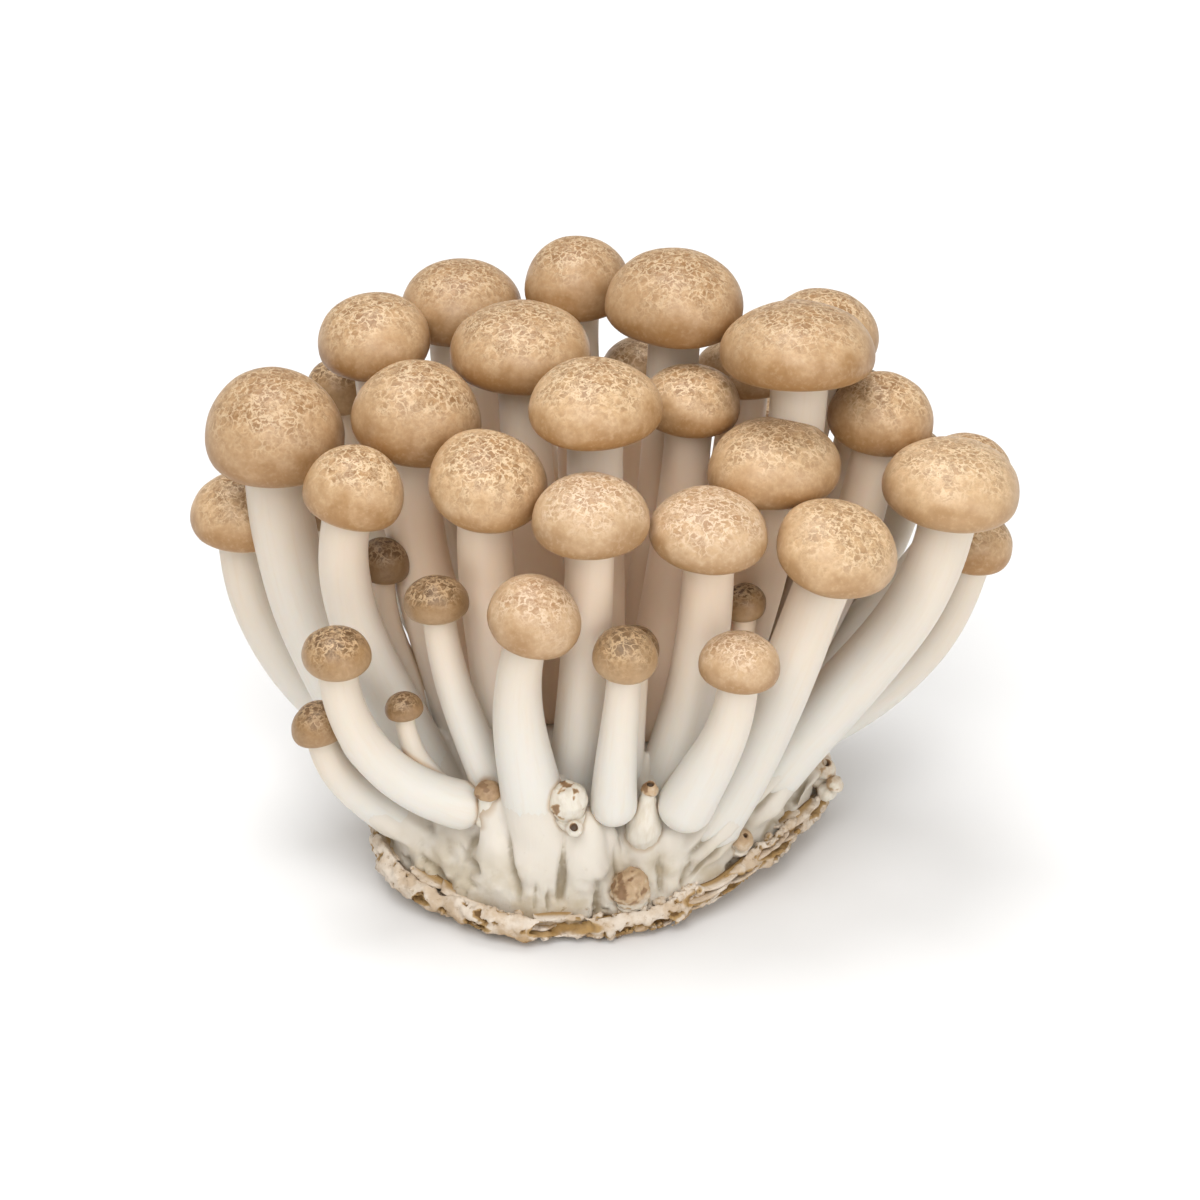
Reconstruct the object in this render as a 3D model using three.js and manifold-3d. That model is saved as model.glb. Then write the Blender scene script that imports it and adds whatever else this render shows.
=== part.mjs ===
// A cluster of brown beech mushrooms, as sold: forty-odd fruit bodies grown from one
// root block, with a torn crust of growing medium still under it.
// Millimetres, +Z up. The origin is the centre of the flat foot that the block stands on,
// +X runs along the cluster's widest way and -Y is its fuller, lower front.

import * as THREE from 'three';
import { mergeVertices } from 'three/addons/utils/BufferGeometryUtils.js';
import Module from 'manifold-3d';

const wasm = await Module();
wasm.setup();

// ---------------------------------------------------------------- driving dimensions

const GAP = 0.35;             // free space between pieces that touch on the real thing
const CLEAR = 0.4;            // what a neighbour is grown by before it cuts a stem

const CAP_SIDES = 14;         // round a grown cap; an even number, for the gills
const YOUNG_CAP_SIDES = 10;
const YOUNG_CAP_WIDTH = 12.4; // caps narrower than this count as young
const GILL_SEAT = 0.2;        // height of the gills' inner end, as a share of the cap's
const GILL_RELIEF = 0.07;     // how far each ridge of gills stands out, same share
const CAP_WAVE = 0.03;        // how far a cap is from round

const STEM_SIDES = 8;
const STEM_STEPS = 6;
const INNER_STEM_SIDES = 7;
const INNER_STEM_STEPS = 4;
const LOBE_SIDES = 6;

const BLOCK_SIDES = 36;       // round the root block and its crust
// Reach of the crust from the origin, and height of its lip, at every 30 degrees from +X.
const CRUST_REACH = [31, 29.5, 26.5, 25, 26, 29.5, 32.5, 34.5, 32, 28, 26.5, 27];
const LIP_HEIGHT = [4.5, 4.5, 4.5, 4, 4, 4.5, 4.5, 3.5, 1.5, 0.8, 2, 4.5];
const FOOT = 0.66;            // the flat foot's share of the reach
const LIP_THICKNESS = 2;
const CRUST_DEPTH = 3;        // thickness over the middle of the foot
const CRUST_TEAR = 0.07;      // how far its ragged lip stands out, at most
const LIP_HEAVE = 1.4;        // and how far it is torn up
const TEAR_SEED = 5;
const BLOCK_TOP = 19;         // crown of the root block between the stems
const BLOCK_RIDGES = 0.045;   // depth of the ridges down its side

// One row a mushroom. cap: centre of the cap. width, rise: its diameter and height.
// lean: how far the cap's axis runs along X and Y for each millimetre up.
// stem: radius under the cap and at the root. root: where the stem starts in the block.
// start: how far the stem sets off along X and Y for each millimetre up.
// free: true where the stem stands clear enough to be a piece of its own.
const MUSHROOMS = [
  // grown, left to right
  { cap: [-44.5, 2, 64.5], width: 19, rise: 11.5, lean: [0.02, -0.12], stem: [4.4, 4.6],
    root: [-26, -8, 11], start: [-0.8, 0.25], free: true },
  { cap: [-50, 9, 47.5], width: 14, rise: 8.5, lean: [0.05, 0], stem: [3.2, 3.6],
    root: [-26, 1, 10], start: [-2.2, 0.5], free: true },
  { cap: [-32.7, -12.5, 62.8], width: 13, rise: 9, lean: [0.28, -0.12], stem: [3.2, 4.2],
    root: [-23, -11, 13], start: [-0.35, 0], free: true },
  { cap: [-31.5, 15.5, 71], width: 16, rise: 8.5, lean: [-0.05, 0.02], stem: [3.2, 3.6],
    root: [-18, 6, 14], start: [-0.35, 0.2] },
  { cap: [-37, 24, 58.5], width: 10, rise: 7, lean: [-0.12, 0.1], stem: [2.2, 2.8],
    root: [-19, 12, 13], start: [-0.6, 0.35] },
  { cap: [-25, 0, 67.5], width: 17, rise: 11, lean: [0.15, -0.1], stem: [4, 4.4],
    root: [-18, -6, 15], start: [-0.2, 0.1] },
  { cap: [-20, 28, 70], width: 17, rise: 9.5, lean: [0, 0.05], stem: [4.2, 4.2],
    root: [-10, 10, 15], start: [-0.25, 0.35] },
  { cap: [-15.5, -13.5, 64.5], width: 16, rise: 8.5, lean: [0.08, -0.22], stem: [3.7, 4],
    root: [-13, -13, 16], start: [-0.05, 0.05], free: true },
  { cap: [-11.5, 10.5, 72], width: 19.5, rise: 9, lean: [-0.03, 0.04], stem: [3.4, 3.8],
    root: [-7, 3, 16], start: [-0.1, 0.15] },
  { cap: [-4, 27, 74], width: 15, rise: 9.5, lean: [0, 0.05], stem: [3, 3.6],
    root: [-2, 12, 15], start: [-0.05, 0.35] },
  { cap: [-1.5, -7, 72.5], width: 18, rise: 8.5, lean: [0, 0.02], stem: [3.7, 4],
    root: [-1, -5, 17], start: [0, 0] },
  { cap: [-2, -20.5, 63], width: 15, rise: 8, lean: [0.02, -0.1], stem: [3.1, 3.9],
    root: [-4.5, -16, 16], start: [0.1, -0.1], free: true },
  { cap: [9.5, 16.5, 76.5], width: 19, rise: 9.5, lean: [0.03, 0.02], stem: [3.5, 4],
    root: [5, 6, 16], start: [0.1, 0.2] },
  { cap: [5, 28, 59.5], width: 12, rise: 7, lean: [0, 0.1], stem: [2.6, 3.2],
    root: [3, 15, 14], start: [0.05, 0.35] },
  { cap: [11.5, 6, 66], width: 13.5, rise: 7.5, lean: [0.05, 0], stem: [3.2, 3.8],
    root: [5, -3, 17], start: [0.15, 0.15] },
  { cap: [13.5, -18, 59.5], width: 15.5, rise: 7, lean: [0, -0.1], stem: [3.4, 4],
    root: [7, -16, 15], start: [0.3, -0.1], free: true },
  { cap: [22.5, -4, 62], width: 17.5, rise: 8.5, lean: [0.02, 0], stem: [3.6, 4],
    root: [13, -5, 16], start: [0.25, 0] },
  { cap: [25.6, 4, 75.3], width: 21.6, rise: 9.2, lean: [-0.03, 0.2], stem: [3.8, 4],
    root: [12, 2, 16], start: [0.25, 0.05] },
  { cap: [29.8, 22, 68.5], width: 16, rise: 9, lean: [0.15, 0.1], stem: [3.8, 4],
    root: [14, 10, 14], start: [0.4, 0.3] },
  { cap: [37.5, 8, 63], width: 14, rise: 8.5, lean: [0.1, -0.05], stem: [3.3, 3.8],
    root: [19, 2, 14], start: [0.6, 0.15] },
  { cap: [30.7, -17.5, 56.5], width: 16, rise: 8, lean: [0.28, -0.2], stem: [3.7, 4.2],
    root: [12.5, -18.5, 10], start: [0.6, 0.15], free: true },
  { cap: [46.2, -5, 59.5], width: 19, rise: 8.7, lean: [0.05, 0.02], stem: [3.8, 4.6],
    root: [20, -11, 13.5], start: [0.85, 0.4], free: true },
  { cap: [50, 11, 52.3], width: 13, rise: 8.5, lean: [0.2, 0.05], stem: [2.8, 3.6],
    root: [20, 5, 13], start: [0.8, 0.2] },
  { cap: [50.5, 5, 44.5], width: 11, rise: 6.5, lean: [0.15, 0], stem: [2.7, 3.8],
    root: [23, 0, 14.5], start: [2.8, 0.2], free: true },
  { cap: [19, 24, 61.5], width: 13, rise: 7, lean: [0, 0.1], stem: [3.4, 3.6],
    root: [9, 12, 14], start: [0.25, 0.35] },
  { cap: [43, 20.5, 50.3], width: 8.5, rise: 5, lean: [0.1, 0.1], stem: [2.5, 3],
    root: [22, 9, 12], start: [0.7, 0.3] },
  { cap: [35.5, 22, 58.5], width: 10, rise: 5.5, lean: [0.1, 0.15], stem: [2.8, 3],
    root: [18, 12, 13], start: [0.5, 0.35] },

  // young ones, in front and between the stems
  { cap: [-9, -27, 51.5], width: 12.4, rise: 7.5, lean: [0.3, -0.2], stem: [2.7, 5],
    root: [-9.5, -22, 14.5], start: [-0.2, -0.15], free: true },
  { cap: [-22.5, -18, 48.5], width: 8.5, rise: 5, lean: [-0.1, 0.02], stem: [2.2, 3],
    root: [-14.5, -18, 17], start: [-0.35, 0], free: true },
  { cap: [-30, -4, 46.5], width: 7, rise: 5, lean: [0.1, -0.1], stem: [1.8, 2.4],
    root: [-22, -5, 15], start: [-0.3, 0] },
  { cap: [-35.5, -24, 44], width: 9.5, rise: 5, lean: [-0.03, 0], stem: [2.6, 3.8],
    root: [-18, -20, 16.5], start: [-3, -0.6], free: true },
  { cap: [-38.5, -20, 30.5], width: 7.5, rise: 4.5, lean: [-0.15, 0], stem: [2, 3],
    root: [-27, -16, 11], start: [-1.2, 0], free: true },
  { cap: [-27, -20, 33], width: 5, rise: 3, lean: [-0.05, 0], stem: [1.3, 2],
    root: [-21, -16, 15], start: [-0.5, -0.3] },
  { cap: [2.5, -27, 45.5], width: 8.5, rise: 5.5, lean: [0.03, -0.15], stem: [2.2, 3.4],
    root: [1, -23, 16.5], start: [0, -0.15], free: true },
  { cap: [4, -20, 42.5], width: 6, rise: 4.5, lean: [0, -0.1], stem: [1.6, 2.2],
    root: [3, -18, 17], start: [0, 0] },
  { cap: [17.5, -27, 44.5], width: 10.5, rise: 6, lean: [0.03, -0.02], stem: [2.6, 4.2],
    root: [9.5, -22, 15.5], start: [0.35, -0.2], free: true },
  { cap: [18.5, -12, 44.5], width: 6, rise: 4, lean: [0, -0.1], stem: [1.6, 2.2],
    root: [14, -11, 16], start: [0.15, 0] },

  // round the back
  { cap: [-26, 31, 53], width: 13, rise: 8, lean: [-0.1, 0.25], stem: [2.9, 3.4],
    root: [-13, 14, 13], start: [-0.35, 0.6] },
  { cap: [-11.5, 35, 55.5], width: 14.5, rise: 8.5, lean: [-0.05, 0.2], stem: [3.1, 3.6],
    root: [-2, 16, 13], start: [0.1, 0.6] },
  { cap: [8, 36, 46], width: 12, rise: 7, lean: [0.05, 0.25], stem: [2.8, 3.4],
    root: [4, 18, 12], start: [0.1, 0.9] },
  { cap: [22, 32, 48], width: 12.5, rise: 7.5, lean: [0.15, 0.25], stem: [2.8, 3.4],
    root: [12, 16, 12], start: [0.5, 0.8] },
  { cap: [-40, 22, 41], width: 10, rise: 6, lean: [-0.2, 0.15], stem: [2.4, 3.2],
    root: [-21, 8, 11], start: [-1, 0.7] },
  { cap: [33, 29, 36], width: 9, rise: 5.5, lean: [0.15, 0.2], stem: [2.2, 3],
    root: [19, 13, 11], start: [0.8, 0.9] },
];

// Pins: young fruit bodies that never opened, sitting on the block.
// at: the top of the pin. girth: radius of the body and of the knob. tall: its height.
const PINS = [
  { at: [-5, -24.8, 23.4], girth: [3, 2.6], tall: 12, lean: [-0.1, -0.1] },
  { at: [-4.3, -27.4, 18.7], girth: [1.9, 1.2], tall: 4, lean: [0, -0.9] },
  { at: [6, -23.6, 22.8], girth: [2.4, 1.4], tall: 12, lean: [0.12, -0.1] },
  { at: [3, -27.6, 10.2], girth: [2.4, 2.4], tall: 4, lean: [0, -0.7] },
  { at: [18.8, -18, 10.4], girth: [1.8, 1.5], tall: 5, lean: [0.3, -0.5] },
  { at: [30.6, -2.5, 13], girth: [2, 1.7], tall: 6, lean: [0.3, -0.4] },
  { at: [32.2, -4, 11], girth: [1.5, 1.3], tall: 5, lean: [0.6, -0.4] },
  { at: [-15.4, -21.8, 21.6], girth: [2.2, 1.7], tall: 9, lean: [-0.1, -0.2] },
  { at: [11.5, 22, 14], girth: [2.4, 1.7], tall: 8, lean: [0.2, 0.5] },
  { at: [-18, 19, 14.5], girth: [2.6, 1.8], tall: 8, lean: [-0.3, 0.5] },
  { at: [24, 15, 13], girth: [2.2, 1.6], tall: 7, lean: [0.5, 0.3] },
];

// Lobes: stunted stems that melted together down the block's side, from their upper end to
// their lower one, with the radius at each.
const LOBES = [
  { from: [-15.5, -21.5, 18], to: [-14.5, -25, 5.5], girth: [2, 3.5] },
  { from: [-9.3, -22.3, 15], to: [-8.7, -25.2, 6], girth: [4.2, 3.8] },
  { from: [-26, -16.5, 10.5], to: [-17.5, -24.2, 5.2], girth: [2, 3] },
  { from: [-29, -13, 9.5], to: [-23, -21, 4.5], girth: [1.6, 2.6] },
  { from: [21, -10.5, 13.5], to: [13.5, -19.8, 6.5], girth: [3.2, 2.8] },
  { from: [26.5, -4, 14], to: [19, -15.5, 6], girth: [1.8, 2.3] },
  { from: [30, -2, 12], to: [24.5, -10, 4.8], girth: [1.7, 2.2] },
  { from: [8.7, -20.5, 12.5], to: [9.3, -22.3, 6.5], girth: [2.2, 2.8] },
  { from: [-3.9, -24.5, 17], to: [-3.4, -26.3, 6.5], girth: [2, 2.8] },
  { from: [-8, 22, 14], to: [-6, 24, 7], girth: [2, 3.2] },
  { from: [16, 20, 12.5], to: [18, 21.5, 7.5], girth: [2, 3] },
  { from: [-25, 14, 12.5], to: [-27, 15.5, 7.5], girth: [2, 3] },
];

// ---------------------------------------------------------------- materials

const finish = (color, roughness) => new THREE.MeshStandardMaterial({ color, roughness, metalness: 0 });
const CAP_TAN = finish('#b98f62', 0.5);
const CAP_BROWN = finish('#8a6440', 0.52);
const STEM_WHITE = finish('#ece2d3', 0.55);
const ROOT_WHITE = finish('#e6dcc9', 0.7);
const CRUST_BEIGE = finish('#b59d78', 0.9);

// ---------------------------------------------------------------- helpers

const UP = new THREE.Vector3(0, 0, 1);
const DARK_CAP_WIDTH = 10.5;  // the smallest caps are the darkest

// A small random generator, so that every draw is the same each time.
function draws(seed) {
  let state = seed * 2654435761 >>> 0;
  return () => {
    state = state + 0x6d2b79f5 >>> 0;
    let mixed = Math.imul(state ^ state >>> 15, 1 | state);
    mixed = mixed + Math.imul(mixed ^ mixed >>> 7, 61 | mixed) ^ mixed;
    return ((mixed ^ mixed >>> 14) >>> 0) / 4294967296;
  };
}

const direction = (lean) => new THREE.Vector3(lean[0], lean[1], 1).normalize();

// Joins a geometry's shared corners and drops the triangles that the poles fold flat.
function closed(geometry) {
  geometry.deleteAttribute('normal');
  geometry.deleteAttribute('uv');
  const merged = mergeVertices(geometry, 1e-4);
  const kept = [];
  for (let i = 0; i < merged.index.count; i += 3) {
    const [a, b, c] = [0, 1, 2].map((k) => merged.index.getX(i + k));
    if (a !== b && b !== c && c !== a) kept.push(a, b, c);
  }
  merged.setIndex(kept);
  return merged;
}

// Moves every corner of a geometry by a function of its place.
function reshape(geometry, move) {
  const place = geometry.getAttribute('position');
  const corner = new THREE.Vector3();
  for (let i = 0; i < place.count; i += 1) {
    corner.fromBufferAttribute(place, i);
    move(corner);
    place.setXYZ(i, corner.x, corner.y, corner.z);
  }
  return geometry;
}

// A turned solid about +Z; the profile runs from its lower pole to its upper one.
function turned(profile, sides) {
  const points = profile.map(([radius, height]) => new THREE.Vector2(radius, height));
  const geometry = new THREE.LatheGeometry(points, sides);
  geometry.rotateX(Math.PI / 2);
  return closed(geometry);
}

function solid(geometry) {
  const vertProperties = new Float32Array(geometry.getAttribute('position').array);
  const triVerts = new Uint32Array(geometry.index.array);
  return new wasm.Manifold(new wasm.Mesh({ numProp: 3, vertProperties, triVerts }));
}

// The largest body of a solid, as a geometry; crumbs that a cut leaves are dropped.
function surface(whole) {
  const bodies = whole.decompose().sort((a, b) => b.volume() - a.volume());
  const mesh = bodies[0].getMesh();
  const geometry = new THREE.BufferGeometry();
  geometry.setAttribute('position', new THREE.BufferAttribute(mesh.vertProperties, 3));
  geometry.setIndex(Array.from(mesh.triVerts));
  return geometry;
}

function near(a, b) {
  const [one, two] = [a.boundingBox(), b.boundingBox()];
  return [0, 1, 2].every((k) => one.min[k] < two.max[k] && two.min[k] < one.max[k]);
}

// Cuts every tool that comes near out of a solid.
function cut(whole, tools) {
  return tools.filter((tool) => near(whole, tool)).reduce((left, tool) => left.subtract(tool), whole);
}

// A value that runs smoothly through a ring of readings, taken at equal angles from +X.
function around(readings, angle) {
  const turn = (angle / (2 * Math.PI) + 1) % 1 * readings.length;
  const before = Math.floor(turn);
  const share = turn - before;
  const [p, q, r, s] = [-1, 0, 1, 2].map((k) => readings[(before + k + readings.length) % readings.length]);
  return q + 0.5 * share * (r - p + share * (2 * p - 5 * q + 4 * r - s + share * (3 * (q - r) + s - p)));
}

// ---------------------------------------------------------------- caps

// A cap about its own centre, apex up: a dome with a rolled margin over ridged gills.
function capGeometry(mushroom, seed) {
  const { width, rise, stem } = mushroom;
  const radius = width / 2;
  const sides = width < YOUNG_CAP_WIDTH ? YOUNG_CAP_SIDES : CAP_SIDES;
  const rim = 0.84 * radius;
  const gillRing = (stem[0] + 0.4 + rim) / 2;
  const profile = [
    [0, GILL_SEAT * rise], [stem[0] + 0.4, GILL_SEAT * rise], [gillRing, 0.12 * rise],
    [rim, 0], [0.95 * radius, 0.09 * rise], [radius, 0.34 * rise],
    [0.88 * radius, 0.69 * rise], [0.53 * radius, 0.93 * rise], [0, rise],
  ];
  const draw = draws(seed);
  const [oval, three, tip] = [draw(), draw(), draw()].map((share) => 2 * Math.PI * share);
  return reshape(turned(profile, sides), (corner) => {
    const angle = Math.atan2(corner.y, corner.x);
    const reach = Math.hypot(corner.x, corner.y);
    const side = Math.round(angle / (2 * Math.PI) * sides);
    if (Math.abs(reach - gillRing) < 0.01) corner.z += (side % 2 ? 1 : -1) * GILL_RELIEF * rise;
    const wave = 1 + CAP_WAVE * Math.sin(2 * angle + oval) + 0.5 * CAP_WAVE * Math.sin(3 * angle + three);
    const droop = CAP_WAVE * rise * (reach / radius) ** 2 * Math.sin(angle + tip);
    const keep = reach > 0.75 * radius || corner.z > 0.5 * rise ? 1 : 0;
    corner.x *= 1 + (wave - 1) * keep;
    corner.y *= 1 + (wave - 1) * keep;
    corner.z += droop * keep - rise / 2;
  });
}

// What a cap needs free round it: a plain closed dome, a little larger all over.
function capRoom(mushroom) {
  const radius = mushroom.width / 2 + CLEAR;
  const half = mushroom.rise / 2 + CLEAR;
  const profile = [
    [0, -half], [0.86 * radius, -half], [1.02 * radius, -0.72 * half], [1.03 * radius, -0.3 * half],
    [0.93 * radius, 0.4 * half], [0.58 * radius, 0.92 * half], [0, 1.04 * half],
  ];
  const geometry = turned(profile, YOUNG_CAP_SIDES);
  geometry.applyQuaternion(new THREE.Quaternion().setFromUnitVectors(UP, direction(mushroom.lean)));
  geometry.translate(...mushroom.cap);
  return solid(geometry);
}

// ---------------------------------------------------------------- stems

// The line of a stem: out of the block on its own heading, then bent up into its cap.
function stemLine(mushroom) {
  const axis = direction(mushroom.lean);
  const root = new THREE.Vector3(...mushroom.root);
  const seat = new THREE.Vector3(...mushroom.cap);
  seat.addScaledVector(axis, (GILL_SEAT - 0.5) * mushroom.rise - GAP);
  const reach = root.distanceTo(seat);
  const out = root.clone().addScaledVector(direction(mushroom.start), 0.4 * reach);
  const under = seat.clone().addScaledVector(axis, -0.38 * reach);
  return new THREE.CubicBezierCurve3(root, out, under, seat);
}

// A stem: swollen at the root, slimmer half way and a little wider under the cap.
function stemSolid(mushroom, grow) {
  const sides = mushroom.free ? STEM_SIDES : INNER_STEM_SIDES;
  const steps = mushroom.free ? STEM_STEPS : INNER_STEM_STEPS;
  const line = stemLine(mushroom);
  const frames = line.computeFrenetFrames(steps);
  const [top, bottom] = mushroom.stem;
  const bar = closed(new THREE.CylinderGeometry(1, 1, 1, sides, steps));
  return solid(reshape(bar, (corner) => {
    const along = corner.y + 0.5;
    const step = Math.round(along * steps);
    const taper = (1 - along) ** 1.5;
    const tip = along === 0 ? 0.72 : 1;
    const girth = (top + (bottom - top) * taper) * tip + grow;
    const [across, aside] = [corner.x * girth, corner.z * girth];
    corner.copy(line.getPointAt(Math.min(1, Math.max(0, along))));
    corner.addScaledVector(frames.normals[step], across);
    corner.addScaledVector(frames.binormals[step], -aside);
    if (step === 0) corner.addScaledVector(frames.tangents[0], -grow);
    if (step === steps) corner.addScaledVector(frames.tangents[steps], grow);
  }));
}

// ---------------------------------------------------------------- root block and crust

// Turns a profile of [share of the reach, height, share of the lip's height] into a body
// that follows the crust's uneven outline. ridge widens it and heave lifts it, by place.
function blockBody(rings, ridge, heave = () => 0) {
  const profile = rings.map(([share], ring) => [share, ring]);
  return reshape(turned(profile, BLOCK_SIDES), (corner) => {
    const ring = Math.round(corner.z);
    const angle = Math.atan2(corner.y, corner.x);
    const [share, height, lift] = rings[ring];
    const reach = share * around(CRUST_REACH, angle) * (1 + ridge(angle, ring));
    const level = height + lift * around(LIP_HEIGHT, angle) + heave(angle, ring);
    corner.set(Math.cos(angle) * reach, Math.sin(angle) * reach, level);
  });
}

// The crust; grown by a clearance, it is what the block's pins are kept off.
function crustSolid(grow) {
  const out = grow / CRUST_REACH[0];
  const rings = [
    [0, -grow, 0], [FOOT, -grow, 0], [0.88 + out, 0.3 - grow, 0.45], [0.985 + out, -grow, 1],
    [1 + out, LIP_THICKNESS + grow, 1], [0.985 - out, LIP_THICKNESS + 1.2 + 2 * grow, 1],
    [0.955 - out, 1.8 + grow, 1], [0.62, CRUST_DEPTH + grow, 0.3], [0, CRUST_DEPTH + grow, 0],
  ];
  const torn = [0, 0.2, 0.7, 1, 1, 0.3, 0, 0, 0];
  const heaved = [0, 0, 0, 0.3, 0.7, 1, 0, 0, 0];
  const draw = draws(TEAR_SEED);
  const [outs, ups] = [0, 1].map(() => Array.from({ length: BLOCK_SIDES }, draw));
  const side = (angle) => (Math.round(angle / (2 * Math.PI) * BLOCK_SIDES) + BLOCK_SIDES) % BLOCK_SIDES;
  return solid(blockBody(
    rings,
    (angle, ring) => torn[ring] * CRUST_TEAR * outs[side(angle)],
    (angle, ring) => heaved[ring] * LIP_HEAVE * ups[side(angle)],
  ));
}

function blockSolid() {
  const rings = [
    [0, CRUST_DEPTH + GAP, 0], [0.62, CRUST_DEPTH + GAP, 0.3], [0.943, 1.8 + GAP, 1],
    [0.94, 4.2, 1], [0.92, 9, 0.6], [0.78, 14.5, 0.15], [0.45, BLOCK_TOP - 1.5, 0], [0, BLOCK_TOP, 0],
  ];
  const ridged = [0, 0, 0, 0.4, 1, 1, 0.5, 0];
  const ridges = (angle) => Math.sin(9 * angle) + 0.7 * Math.sin(13 * angle + 2);
  return solid(blockBody(rings, (angle, ring) => ridged[ring] * BLOCK_RIDGES * ridges(angle)));
}

function pinSolid(pin) {
  const [body, knob] = pin.girth;
  const profile = [
    [0, -pin.tall], [0.7 * body, -0.85 * pin.tall], [body, -0.6 * pin.tall],
    [0.75 * knob, -1.7 * knob], [knob, -0.8 * knob], [0.55 * knob, -0.1 * knob], [0, 0],
  ];
  const geometry = turned(profile, INNER_STEM_SIDES);
  geometry.applyQuaternion(new THREE.Quaternion().setFromUnitVectors(UP, direction(pin.lean)));
  geometry.translate(...pin.at);
  return solid(geometry);
}

function lobeSolid(lobe) {
  const [upper, lower] = lobe.girth;
  const foot = new THREE.Vector3(...lobe.to);
  const heading = new THREE.Vector3(...lobe.from).sub(foot);
  const tall = heading.length();
  const profile = [
    [0, -0.3 * lower], [0.8 * lower, 0.1 * tall], [lower, 0.35 * tall], [upper, 0.85 * tall], [0, tall],
  ];
  const geometry = turned(profile, LOBE_SIDES);
  geometry.applyQuaternion(new THREE.Quaternion().setFromUnitVectors(UP, heading.normalize()));
  geometry.translate(...lobe.to);
  return solid(geometry);
}

// ---------------------------------------------------------------- the cluster

const cluster = new THREE.Group();

function add(name, geometry, material) {
  const mesh = new THREE.Mesh(geometry, material);
  mesh.name = name;
  cluster.add(mesh);
  return mesh;
}

const numbered = (word, index) => `${word}_${String(index + 1).padStart(2, '0')}`;

MUSHROOMS.forEach((mushroom, index) => {
  const tone = mushroom.width < DARK_CAP_WIDTH ? CAP_BROWN : CAP_TAN;
  const cap = add(numbered('cap', index), capGeometry(mushroom, index + 1), tone);
  cap.position.set(...mushroom.cap);
  cap.quaternion.setFromUnitVectors(UP, direction(mushroom.lean));
});

const capRooms = MUSHROOMS.map(capRoom);
const stems = MUSHROOMS.map((mushroom, index) => (
  cut(stemSolid(mushroom, 0), capRooms.filter((room, other) => other !== index))
));

const freeStems = [];
MUSHROOMS.forEach((mushroom, index) => {
  if (!mushroom.free) return;
  const stem = cut(stems[index], freeStems);
  add(numbered('stem', index), surface(stem), STEM_WHITE);
  freeStems.push(stemSolid(mushroom, CLEAR));
});

const crustRoom = crustSolid(CLEAR);
const buds = [...PINS.map(pinSolid), ...LOBES.map(lobeSolid)].map((bud) => cut(bud, [crustRoom]));
const innerStems = stems.filter((stem, index) => !MUSHROOMS[index].free);
const grownTogether = [blockSolid(), ...buds, ...innerStems];
const rootMass = grownTogether.reduce((whole, piece) => whole.add(piece));
add('root_mass', surface(cut(rootMass, freeStems)), ROOT_WHITE);
add('substrate_crust', surface(crustSolid(0)), CRUST_BEIGE);

export default cluster;
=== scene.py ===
# %% [markdown]
# # A cluster of brown beech mushrooms
#
# Forty-odd small mushrooms grow out of one white root block, and a torn crust of the medium
# that fed them is still stuck under it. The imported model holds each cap, each stem that
# stands free, the grown-together middle and the crust as plain faceted solids. This script
# lays a finer piece over each of them and gives it a skin, piece by piece, from the camera
# and the light to the last pit in the crust.

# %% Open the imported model
import math
import random

import bmesh
import bpy
from mathutils import Matrix, Vector, geometry, noise
from mathutils.bvhtree import BVHTree


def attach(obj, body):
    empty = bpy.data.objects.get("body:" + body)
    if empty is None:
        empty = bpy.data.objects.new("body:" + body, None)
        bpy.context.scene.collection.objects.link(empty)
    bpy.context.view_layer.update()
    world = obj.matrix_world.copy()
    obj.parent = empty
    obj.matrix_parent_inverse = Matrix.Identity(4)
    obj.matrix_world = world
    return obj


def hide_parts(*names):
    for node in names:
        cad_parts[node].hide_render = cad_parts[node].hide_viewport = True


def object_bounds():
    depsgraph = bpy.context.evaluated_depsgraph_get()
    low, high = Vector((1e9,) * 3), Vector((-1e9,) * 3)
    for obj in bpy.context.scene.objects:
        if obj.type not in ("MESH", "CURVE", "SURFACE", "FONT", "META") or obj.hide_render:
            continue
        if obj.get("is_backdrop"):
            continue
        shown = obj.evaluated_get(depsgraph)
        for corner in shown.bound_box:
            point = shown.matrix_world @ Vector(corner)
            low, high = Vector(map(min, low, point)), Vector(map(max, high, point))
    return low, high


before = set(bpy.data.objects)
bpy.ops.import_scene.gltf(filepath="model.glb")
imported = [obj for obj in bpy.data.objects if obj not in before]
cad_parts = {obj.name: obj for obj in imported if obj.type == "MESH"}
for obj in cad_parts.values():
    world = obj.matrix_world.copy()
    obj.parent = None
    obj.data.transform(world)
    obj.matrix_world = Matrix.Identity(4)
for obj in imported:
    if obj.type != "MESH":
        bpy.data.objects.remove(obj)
cad_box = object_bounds()
MM = 0.001
size_mm = [round(side / MM, 1) for side in cad_box[1] - cad_box[0]]
print(len(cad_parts), "solids in a box of", size_mm, "mm")

# %% [markdown]
# ## The camera
# A long lens from well back keeps the caps at the rear nearly as large as those in front,
# which is how produce is usually shown. The camera looks 30 degrees down at the middle of
# the cluster. It is placed by its distance from the point it looks at, because that point
# and the angle are what one wants to change, not three raw coordinates.

# %% Camera
LOOK_AT = Vector((-0.8, 0, 37.5)) * MM
LOOK_DOWN = math.radians(30)
DISTANCE = 620 * MM
SENSOR = 36
FOCAL_SHARE = 3.7825          # focal length over the width of the picture

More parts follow.
